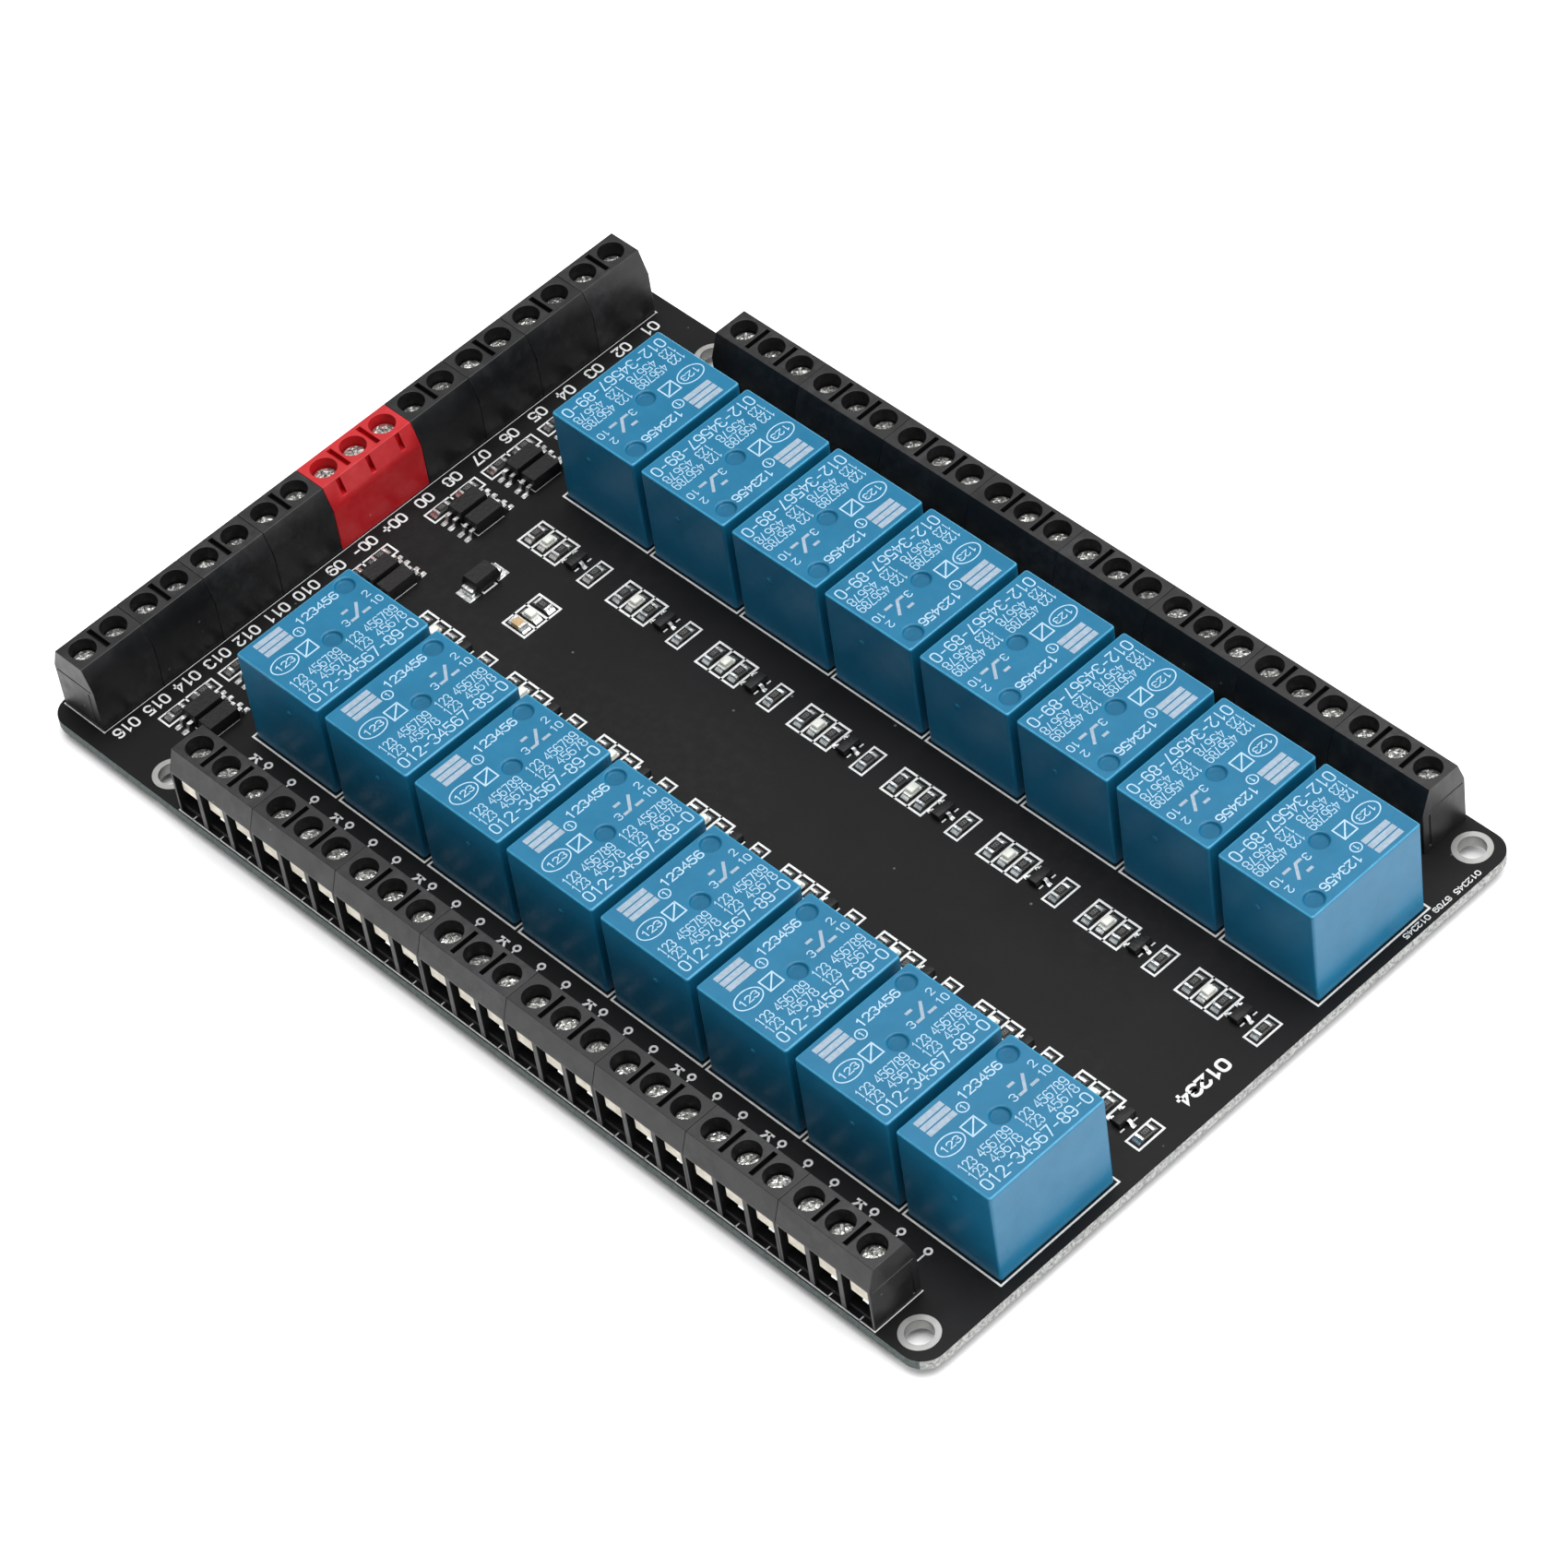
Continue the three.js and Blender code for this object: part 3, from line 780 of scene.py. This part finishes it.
LABEL_FOOT, LABEL_CAP = -68.58, -67.04
FIRST_LABELS_Y = (10.1, -10.25)
SUPPLY_LABELS = {"00": 5.2, "00+": -0.1, "00-": -5.3}


def label(ink, text, y):
    """Text that is read from the input side, centred on y."""
    half = 0.58 * len(text)
    write(ink, text, y + half, y - half, LABEL_FOOT, LABEL_CAP, 0.27, INK_LOW, INK_HIGH)


def label_inputs(ink):
    upper, lower = FIRST_LABELS_Y
    for number in range(1, 9):
        label(ink, f"0{number}", upper + (8 - number) * PITCH)
        label(ink, f"0{number + 8}", lower - (number - 1) * PITCH)
    for text, y in SUPPLY_LABELS.items():
        label(ink, text, y)
    write(ink, "01234", 4.1, -3.6, 72.7, 74.35, 0.42, INK_LOW, INK_HIGH)
    write(ink, "012345 6789 012345", 44.9, 31.6, 76.42, 77.1, 0.14, INK_LOW, INK_HIGH)


def opto_outline(ink, base):
    x0, x1 = PAIR_X
    top = base + PAIR_LENGTH
    line_on_board(ink, [(x1, base + 2.6), (x1, base), (x0, base), (x0, top), (x1, top), (x1, top - 1.1)])
    line_on_board(ink, [(x0, base + PAIR_LENGTH / 2), (x0 + 0.62, base + PAIR_LENGTH / 2)])
    line_on_board(ink, [(-58.5, base + 2.05), (-57.72, base + 2.05), (-57.72, base + 6.55)], 0.13)
    line_on_board(ink, [(-61.0, base + 7.85), (-59.9, base + 7.85)], 0.13)
    line_on_board(ink, [(-61.0, base + 2.05), (-59.9, base + 2.05)], 0.13)


def cluster_outline(ink, x, side):
    y0, y1 = (CLUSTER_MIDDLE + side * y for y in CLUSTER_Y)
    frame_on_board(ink, x - 6.65, y0, x + 0.22, y1, 0.3)
    for divider in (-4.32, -2.05):
        line_on_board(ink, [(x + divider, y0), (x + divider, y1)], 0.32)
    frame_on_board(ink, x + 4.38, y0, x + 6.45, y1, 0.27)
    for y in (y0 + side * 1.0, y1 - side * 1.1):
        line_on_board(ink, [(x + 3.0, y), (x + 3.0, y + side * 0.5)], 0.2)


# ---- small parts


def fillet_end(sign, inner, outer, width, top):
    """A soldered end: the tinned cap of a small part with its fillet running down to the board."""
    side = [
        (inner, 0.0), (outer, 0.0), (outer - 0.1, 0.1), (outer - 0.3, 0.2),
        (outer - 0.48, 0.75 * top), (outer - 0.54, top), (inner, top),
    ]
    points, faces = prism(side, -width / 2, width / 2)
    return [Vector((across, sign * along, up)) for along, up, across in points], faces


SMALL = [SOLDER, CHIP, LENS, CERAMIC, BLACK, MARK]
TIN, EPOXY, CLEAR, CREAM, DOT, CODE = range(6)


def small_parts():
    resistor = Bits()
    for sign in (-1, 1):
        resistor.add(fillet_end(sign, 0.74, 1.64, 1.2, 0.56), TIN)
    resistor.add(rounded((-0.6, -0.76, 0.06), (0.6, 0.76, 0.5), 0.03, 1), CODE)
    resistor.add(rounded((-0.56, -0.78, 0.45), (0.56, 0.78, 0.57), 0.03, 1), EPOXY)
    write(resistor, "100", -0.46, 0.46, 0.26, -0.26, 0.1, 0.57, 0.57 + 0.015, CODE)
    lamp = Bits()
    for sign in (-1, 1):
        lamp.add(fillet_end(sign, 0.72, 1.6, 1.15, 0.4), TIN)
    lamp.add(rounded((-0.62, -1.0, 0.05), (0.62, 1.0, 0.42), 0.05, 1), CLEAR)
    lamp.add(rounded((-0.6, -0.74, 0.36), (0.6, 0.74, 1.0), 0.2, 3), CLEAR)
    capacitor = Bits()
    for sign in (-1, 1):
        capacitor.add(fillet_end(sign, 0.55, 1.6, 1.25, 0.86), TIN)
    capacitor.add(rounded((-0.64, -0.72, 0.06), (0.64, 0.72, 0.88), 0.07, 2), CREAM)
    transistor = Bits()
    transistor.add(rounded((-0.68, -1.45, 0.12), (0.68, 1.45, 1.0), 0.12, 2), EPOXY)
    for x, y in ((-1, -0.95), (-1, 0.95), (1, 0.0)):
        transistor.add(lead(0.5, 0.62, 1.55, 0.5), TIN, standing(0, y, 0, math.pi if x < 0 else 0))
        pad = rounded((x * 1.5 - 0.3, y - 0.34, 0), (x * 1.5 + 0.3, y + 0.34, 0.12), 0.05, 1)
        transistor.add(pad, TIN)
    parts = {"resistor": resistor, "lamp": lamp, "capacitor": capacitor, "transistor": transistor}
    return {name: bits.mesh(name, SMALL) for name, bits in parts.items()}


def lead(width, inner, outer, height):
    """A bent tin leg that runs along +X from a body's side down to the board."""
    thick, mid = 0.13, (inner + outer) / 2
    line = [(inner - 0.1, height), (mid - 0.12, height), (mid + 0.1, 0.2), (mid + 0.2, 0.07), (outer, 0.07)]
    upper = [(x, z + thick) for x, z in line]
    upper[1] = (line[1][0] + 0.1, height + thick)
    upper[2] = (line[2][0] + 0.12, line[2][1] + thick * 0.6)
    outline = line + upper[::-1]
    points, faces = prism(outline, -width / 2, width / 2)
    return [Vector((x, across, z)) for x, z, across in points], faces


def opto():
    """An optical coupler: a bevelled epoxy body with two gull-wing legs at each end."""
    bits = Bits().add(stacked([(1.18, 2.26, 0.12), (1.3, 2.4, 1.0), (1.16, 2.24, 2.0)]), EPOXY)
    for sign in (-1, 1):
        for x in (-0.66, 0.66):
            bits.add(lead(0.5, 2.3, 4.0, 0.95), TIN, standing(x, 0, 0, sign * math.pi / 2))
            pad = rounded((x - 0.32, sign * 3.7 - 0.5, 0.0), (x + 0.32, sign * 3.7 + 0.5, 0.07), 0.03, 1)
            bits.add(pad, TIN)
    bits.add(prism(circle(-0.75, -1.7, 0.22, 16), 2.0, 2.012), DOT)
    return bits.mesh("opto_coupler", SMALL)


def diode():
    """The supply's diode: a block body on two wide pads, with a tab at each end."""
    bits = Bits().add(stacked([(1.2, 2.0, 0.2), (1.4, 2.15, 1.1), (1.15, 1.85, 2.2)]), EPOXY)
    for sign in (-1, 1):
        near, far = sorted((sign * 1.5, sign * 3.5))
        bits.add(rounded((-1.4, near, 0.0), (1.4, far, 0.12), 0.05, 1), TIN)
        near, far = sorted((sign * 2.0, sign * 2.75))
        bits.add(rounded((-1.0, near, 0.1), (1.0, far, 1.15), 0.2, 3), TIN)
    return bits.mesh("supply_diode", SMALL)


CHANNEL_PARTS = {"resistor_a": -5.5, "lamp": -3.2, "resistor_b": -0.9, "transistor": 2.05, "resistor_c": 5.4}
COUPLER_X = {"a": -62.0, "b": -58.86}
INPUT_RESISTOR_X = -64.76
INPUT_RESISTOR_Y = {"a": 2.15, "b": 6.6}


def place_small_parts():
    parts = small_parts()
    base = BOARD_TOP + 0.01
    upright = math.pi / 2

    def put(name, kind, x, y, turn=0.0):
        place(name, parts[kind], at=standing(x, y, base, turn))

    for channel, (x, _, _) in RELAYS.items():
        side = cluster_side(channel)
        y = CLUSTER_MIDDLE + side * (CLUSTER_Y[0] + CLUSTER_Y[1]) / 2
        prefix = f"channel_{channel:02d}"
        for name, offset in CHANNEL_PARTS.items():
            kind = name.split("_")[0]
            put(f"{prefix}_{name}", kind, x + offset, y)
    coupler = opto()
    for index, low in enumerate(PAIRS_Y):
        middle = low + PAIR_LENGTH / 2
        prefix = f"input_pair_{index + 1}"
        for name, x in COUPLER_X.items():
            place(f"{prefix}_coupler_{name}", coupler, at=standing(x, middle, base))
        for name, y in INPUT_RESISTOR_Y.items():
            put(f"{prefix}_resistor_{name}", "resistor", INPUT_RESISTOR_X, low + y)
    put("supply_capacitor", "capacitor", SUPPLY_X, -2.0, upright)
    put("supply_lamp", "lamp", SUPPLY_X, 0.09, upright)
    put("supply_resistor", "resistor", SUPPLY_X, 2.3, upright)
    place("supply_diode", diode(), at=standing(-51.1, 0.05, base))


# ---- relays

WALL = 0.8
DIMPLES = [(-5.6, 7.03, 1.27), (-0.1, 0.05, 1.24)]
DIMPLE_DEPTH = 0.5
COVER_BEVEL = 0.24
# the outline of the small moulding mark on each long side, and its place on that side
PIP = [(0.0, -0.3), (0.42, -0.3), (0.42, 0.02), (0.36, 0.09), (0.2, 0.14), (0.0, 0.16)]
PIP_X, PIP_UP = 1.4, 10.6


def relay_cover():
    half_x, half_y, height = RELAY_SIZE.x / 2, RELAY_SIZE.y / 2, RELAY_SIZE.z
    outside = Vector((half_x, half_y))
    body = Bits().add(prism(rounded_outline(-outside, outside, 0.4, 3), 0, height))
    tools = Bits()
    inside = Vector((half_x - WALL, half_y - WALL))
    tools.add(prism(rounded_outline(-inside, inside, 0.3, 2), -1, height - WALL))
    for x, y, radius in DIMPLES:
        tools.add(prism(circle(x, y, radius, 32), height - DIMPLE_DEPTH, height + 1))
    materials = [RELAY_BLUE, RELAY_DIMPLE_SHADED, RELAY_EDGE_HIGHLIGHT]
    mesh = carve("relay_cover", body, [tools], materials, COVER_BEVEL, 3)
    pips = Bits()
    for side in (-1, 1):
        facing = Matrix.Rotation(-side * math.pi / 2, 4, "X")
        pips.add(lathe(PIP, 20), 0, Matrix.Translation((PIP_X, side * half_y, PIP_UP)) @ facing)
    joined(mesh, pips.mesh("moulding_pips", materials))
    for face in mesh.polygons:
        depth = height - face.center.z / MM
        # dimple floors take the darker, rougher blue: painted shade in the hollows
        if 0.1 < depth < DIMPLE_DEPTH + 0.01 and face.normal.z > 0.9:
            face.material_index = 1
        # the bevel faces along the top rim take the lighter blue: a painted highlight
        at_rim = max(abs(face.center.x / MM) - half_x, abs(face.center.y / MM) - half_y) > -0.26
        if at_rim and depth < 0.2 and 0.3 < face.normal.z < 0.985:
            face.material_index = 2
    return mesh


def relay_print():
    """Generic print: plain number rows, bars, a ring and switch signs."""
    bits = Bits()
    low, high = RELAY_SIZE.z - 0.01, RELAY_SIZE.z + 0.02
    rows = [
        ("123", -8.5, -6.4, 2.6, 1.26, 0.14),
        ("456789", -5.6, -0.7, 2.6, 1.26, 0.13),
        ("123", 0.75, 2.85, 2.6, 1.26, 0.13),
        ("456789", 3.65, 8.6, 2.6, 1.26, 0.13),
        ("123", -8.5, -6.4, 4.25, 2.92, 0.13),
        ("45678", -5.2, -0.7, 4.25, 2.92, 0.13),
        ("123", 0.75, 2.95, 4.25, 2.92, 0.13),
        ("45678", 4.1, 8.6, 4.25, 2.92, 0.13),
        ("012-34567-89-0", -8.5, 8.6, 6.4, 4.78, 0.18),
        ("123456", -1.1, 5.3, -4.85, -6.05, 0.19),
        ("2", 7.45, 8.15, -2.05, -3.1, 0.13),
        ("10", 7.2, 8.7, -0.2, -1.25, 0.14),
        ("3", 2.5, 3.2, -0.2, -1.25, 0.14),
        ("123", -8.0, -5.3, -1.0, -1.95, 0.15),
        ("1", -2.12, -1.62, -3.8, -4.56, 0.14),
    ]
    for text, start, end, foot, cap, stroke in rows:
        write(bits, text, start, end, foot, cap, stroke, low, high)
    for index in range(3):
        x = -6.85 + 1.05 * index
        bits.add(box((x, -7.3, low), (x + 0.84, -2.95, high)), 1)
    bits.add(tube(-4.18, -1.9, 0.64, 0.8, low, high, 28))
    turns = (2 * math.pi * index / 36 for index in range(36))
    ellipse = [(-1.5 + 1.35 * math.cos(turn), -6.65 + 2.0 * math.sin(turn)) for turn in turns]
    bits.add(ribbon(ellipse, 0.16, low, high, closed=True))
    square = [(-2.4, -4.15), (-0.35, -4.15), (-0.35, -2.0), (-2.4, -2.0)]
    bits.add(ribbon(square, 0.2, low, high, closed=True))
    bits.add(ribbon([(-2.25, -2.15), (-0.5, -4.0)], 0.2, low, high))
    blade = [(-0.45, 3.7), (-0.45, 4.5), (-2.3, 5.9)]
    for line in (blade, [(-0.45, 5.6), (-0.45, 6.45)], [(-2.3, 3.7), (-2.3, 4.3)]):
        bits.add(ribbon(line, 0.42, low, high), 1)
    mesh = bits.mesh("relay_print", [RELAY_INK, RELAY_BAR])
    mesh.transform(Matrix.Translation((0.08 * MM, 0, 0)))
    return mesh


def place_relays():
    cover, marks = relay_cover(), relay_print()
    for channel, (x, y, turn) in RELAYS.items():
        at = standing(x, y, BOARD_TOP, turn)
        name = f"relay_{channel:02d}"
        place(name + "_case", cover, at=at, replaces=[name + "_cover"])
        place(name + "_print", marks, at=at)


# ---- terminal blocks

HOUSING_HEIGHT = 10.5
SLOPE_BASE, SLOPE_TOP_OUT = 7.0, -2.65
BACK_LEAN = (SLOPE_TOP_OUT - HOUSING_BACK) / (HOUSING_HEIGHT - SLOPE_BASE)
PROFILE = [
    (HOUSING_BACK, 0), (HOUSING_FRONT, 0), (HOUSING_FRONT, 7.4), (2.45, HOUSING_HEIGHT),
    (SLOPE_TOP_OUT, HOUSING_HEIGHT), (HOUSING_BACK, SLOPE_BASE),
]
WINDOW = {"half": 2.13, "sill": 0.9, "top": 6.95, "back": -2.05, "sill_front": 2.9}
WELL_RADIUS = 1.8
# grooves between the poles and slots over them: half their width, then (out, up) or out from end to end
GROOVE_HALF = 0.36
POLE_GROOVE = (-2.1, 1.95)
BACK_SLOT = ((-4.6, 8.0), (-2.5, 10.3))
END_GROOVES = (((-3.05, 0.7), (-2.7, 6.2)), ((-3.5, 6.7), (3.1, 6.88)))
END_GROOVE_DEPTH = 0.12


def along_blocks(shape):
    """Turns a prism drawn as (out, up) and run along its height into the block's own frame."""
    points, faces = shape
    return [Vector((z, x, y)) for x, y, z in points], faces


def housing(name, poles, finishes, back_slots=False):
    body = Bits().add(along_blocks(prism(PROFILE, SEAM, poles * PITCH - SEAM)))
    beyond = HOUSING_FRONT + 1
    opening = [
        (WINDOW["back"], WINDOW["sill"]), (WINDOW["sill_front"], WINDOW["sill"]),
        (WINDOW["sill_front"], -1), (beyond, -1), (beyond, WINDOW["top"]), (WINDOW["back"], WINDOW["top"]),
    ]
    tools = Bits()
    for index in range(poles):
        x = (index + 0.5) * PITCH
        tools.add(along_blocks(prism(opening, x - WINDOW["half"], x + WINDOW["half"])))
        if back_slots:
            low, high = BACK_SLOT
            tools.add(box((x - GROOVE_HALF, *low), (x + GROOVE_HALF, *high)))
    # the wells meet the windows, so they are cut in a second pass
    wells = Bits()
    for index in range(poles):
        x = (index + 0.5) * PITCH
        wells.add(prism(circle(x, 0, WELL_RADIUS, 36), WINDOW["top"] - 1, HOUSING_HEIGHT + 1))
        if index:
            x0, x1 = index * PITCH - GROOVE_HALF, index * PITCH + GROOVE_HALF
            back, front = POLE_GROOVE
            wells.add(box((x0, back, HOUSING_HEIGHT - 1.0), (x1, front, HOUSING_HEIGHT + 1)))
    skin = SEAM + END_GROOVE_DEPTH
    for x0, x1 in ((0, skin), (poles * PITCH - skin, poles * PITCH)):
        for low, high in END_GROOVES:
            wells.add(box((x0, *low), (x1, *high)))
    mesh = carve(name, body, [tools, wells], finishes, 0.05)
    # faces in the wells, windows, grooves and slots take the second finish; on the black housings it is
    # darker, painted shade in these hollows
    for face in mesh.polygons:
        x, out, up = face.center / MM
        across = abs((x / PITCH) % 1 - 0.5) * PITCH
        in_well = math.hypot(across, out) < WELL_RADIUS + 0.02 and up < HOUSING_HEIGHT - 0.1
        in_window = across < WINDOW["half"] + 0.02 and out < HOUSING_FRONT - 0.1 and 0.8 < up < 7
        in_groove = across > PITCH / 2 - 0.37 and -2.12 < out < 1.97 and 9.4 < up < HOUSING_HEIGHT - 0.1
        slope = HOUSING_BACK + (up - SLOPE_BASE) * BACK_LEAN
        in_back_slot = back_slots and across < 0.37 and slope + 0.08 < out < -2.4 and 7.9 < up < 10.3
        inside = in_well or in_groove or in_back_slot or (in_window and out > WINDOW["back"] - 0.02)
        face.material_index = int(inside)
    return mesh


SCREW_TOP = 8.1
HEAD_BASE = 6.7
# how far a screw stands above its drawn height, and the small lift of each pole's clamp
RED_SCREW_RAISE, SCREW_RAISE, SCREW_RAISE_STEP = 0.9, 0.2, 0.1
CLAMP_LIFTS = (0.22, 0.05, 0.0)
CROSS = [
    (-1.3, -0.22), (-0.3, -0.26), (-0.26, -0.3), (-0.22, -1.3), (0.22, -1.3), (0.26, -0.3),
    (0.3, -0.26), (1.3, -0.22), (1.3, 0.22), (0.3, 0.26), (0.26, 0.3), (0.22, 1.3),
    (-0.22, 1.3), (-0.26, 0.3), (-0.3, 0.26), (-1.3, 0.22),
]


def screw():
    """A pan-head terminal screw with a cross recess and a plain shank that clears the clamp's hole."""
    profile = [
        (0.0, 3.9), (0.8, 3.9), (0.95, 4.05), (0.95, 6.3), (1.2, 6.3), (1.2, HEAD_BASE),
        (1.64, HEAD_BASE), (1.72, HEAD_BASE + 0.12), (1.72, SCREW_TOP - 0.36), (1.64, SCREW_TOP - 0.16),
        (1.4, SCREW_TOP - 0.04), (1.0, SCREW_TOP), (0.0, SCREW_TOP),
    ]
    cross = Bits().add(prism(CROSS, SCREW_TOP - 0.55, SCREW_TOP + 1))
    return carve("terminal_screw", Bits().add(lathe(profile, 28)), [cross], [NICKEL], 0.05, 1)


def clamp(with_tongue):
    """The clamp plate of one pole, with the lip that shows in the wire window."""
    side = [(-1.6, 4.6), (2.3, 4.6), (2.3, 3.95), (2.95, 3.95), (2.95, 6.1), (-1.6, 6.1)]
    plate = Bits().add(along_blocks(prism(side, -1.4, 1.4)))
    tools = Bits().add(prism(circle(0, 0, 1.05, 24), 3, 8))
    mesh = carve("terminal_clamp", plate, [tools], [CLAMP, SOLDER], 0.1, 2)
    if with_tongue:
        side = [(2.5, 3.7), (3.0, 3.68), (2.9, 3.97), (2.5, 3.97)]
        tongue = Bits().add(along_blocks(prism(side, -1.4, -0.5)), 1)
        mesh = joined(mesh, tongue.mesh("clamp_tongue", [CLAMP, SOLDER]))
    return mesh


def wire_rest():
    """The fixed jaw at the bottom of a wire window."""
    return Bits().add(rounded((-1.75, -1.6, 1.0), (1.75, 0.6, 1.45), 0.1, 1)).mesh("wire_rest", [NICKEL])


MOVING = {"output_terminal_16": ("output_16", ["open", "common", "closed"]),
          "supply_terminal": ("supply", ["minus", "plus", "common"])}


def place_terminals():
    meshes = {
        (2, False): housing("housing_two_pole", 2, [BLACK, BLACK_INSIDE_SHADED]),
        (3, False): housing("housing_three_pole", 3, [BLACK, BLACK_INSIDE_SHADED]),
        (3, True): housing("housing_supply", 3, [RED, RED_INSIDE], back_slots=True),
    }
    screw_mesh, rest_mesh, clamp_meshes = screw(), wire_rest(), (clamp(True), clamp(False))
    count = 0
    for node, poles, at in BLOCKS:
        red = node == "supply_terminal"
        place(node + "_housing", meshes[(poles, red)], at=at, replaces=[node])
        for index in range(poles):
            count += 1
            middle = at @ Matrix.Translation(((index + 0.5) * PITCH, 0, 0))
            place(f"{node}_wire_rest_{index + 1}", rest_mesh, at=middle)
            clamp_mesh = clamp_meshes[index == 2]
            # screws differ a little in height and angle, as tightened by hand
            rise = RED_SCREW_RAISE if red else SCREW_RAISE + SCREW_RAISE_STEP * ((count * 3) % 5)
            lean = math.radians((count * 47) % 90)
            turned = middle @ Matrix.Translation((0, 0, rise)) @ Matrix.Rotation(lean, 4, "Z")
            if node in MOVING:
                prefix, names = MOVING[node]
                clamp_node, screw_node = (f"{prefix}_{kind}_{names[index]}" for kind in ("clamp", "screw"))
                place(clamp_node + "_plate", clamp_mesh, clamp_node, middle, [clamp_node])
                place(screw_node + "_head", screw_mesh, screw_node, turned, [screw_node])
            else:
                lifted = middle @ Matrix.Translation((0, 0, CLAMP_LIFTS[index]))
                place(f"{node}_clamp_{index + 1}", clamp_mesh, at=lifted)
                place(f"{node}_screw_{index + 1}", screw_mesh, at=turned)


# ---- carried-over CAD nodes


MECHANISM = {
    "base": RELAY_BASE, "coil": COPPER, "yoke": IRON, "armature": IRON,
    "contact_open": BRASS, "contact_closed": BRASS,
}


def finish_mechanism():
    """Gives the CAD pieces inside relay 16 their finishes."""
    for part, material in MECHANISM.items():
        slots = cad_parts[f"relay_16_{part}"].data.materials
        slots.clear()
        slots.append(material)


# ---- studio

# degrees, and millimetres from the board's top
CAMERA = {
    "azimuth": 52.406, "elevation": 48.131, "roll": 9.349, "distance": 753.47, "lens": 141.33,
    "target": (2.754, 1.008),
}


def camera():
    azimuth, elevation, roll = (math.radians(CAMERA[key]) for key in ("azimuth", "elevation", "roll"))
    reach = math.cos(elevation)
    back = Vector((math.sin(azimuth) * reach, -math.cos(azimuth) * reach, math.sin(elevation)))
    level = (-back).cross(Vector((0, 0, 1))).normalized()
    drop = (-back).cross(level)
    right = math.cos(roll) * level + math.sin(roll) * drop
    down = math.cos(roll) * drop - math.sin(roll) * level
    data = bpy.data.cameras.new("camera")
    data.lens = CAMERA["lens"]
    data.sensor_width = 36.0
    data.clip_start, data.clip_end = 0.01, 20.0
    viewer = bpy.data.objects.new("camera", data)
    turn = Matrix((right, -down, back)).transposed().to_4x4()
    target = Vector((*CAMERA["target"], BOARD_TOP))
    viewer.matrix_world = Matrix.Translation((target + back * CAMERA["distance"]) * MM) @ turn
    bpy.context.scene.collection.objects.link(viewer)
    bpy.context.scene.camera = viewer


def softbox(name, place_at, aim, width, height, power):
    data = bpy.data.lights.new(name, "AREA")
    data.shape, data.size, data.size_y, data.energy = "RECTANGLE", width, height, power
    lamp = bpy.data.objects.new(name, data)
    lamp.location = place_at
    lamp.rotation_euler = (Vector(aim) - Vector(place_at)).to_track_quat("-Z", "Y").to_euler()
    bpy.context.scene.collection.objects.link(lamp)


FLOOR_REACH = 2000


def studio():
    floor = Bits().add(box((-FLOOR_REACH, -FLOOR_REACH, -10), (FLOOR_REACH, FLOOR_REACH, -0.02)))
    sheet = bpy.data.objects.new("floor", floor.mesh("floor", [FLOOR]))
    bpy.context.scene.collection.objects.link(sheet)
    world = bpy.data.worlds.new("studio")
    world.use_nodes = True
    set_inputs(world.node_tree.nodes["Background"], {"Color": (1, 1, 1, 1), "Strength": 0.5})
    bpy.context.scene.world = world
    softbox("overhead", (0.1, 0.15, 1.1), (0, 0, 0), 1.4, 1.4, 26.0)
    softbox("far_side", (1.1, 0.2, 0.3), (0, 0, 0), 0.8, 0.4, 6.3)
    bpy.context.scene.view_settings.view_transform = "Standard"


make_board()
solder_joints()
copper()
printed_lines()
place_small_parts()
place_relays()
place_terminals()
finish_mechanism()
camera()
studio()
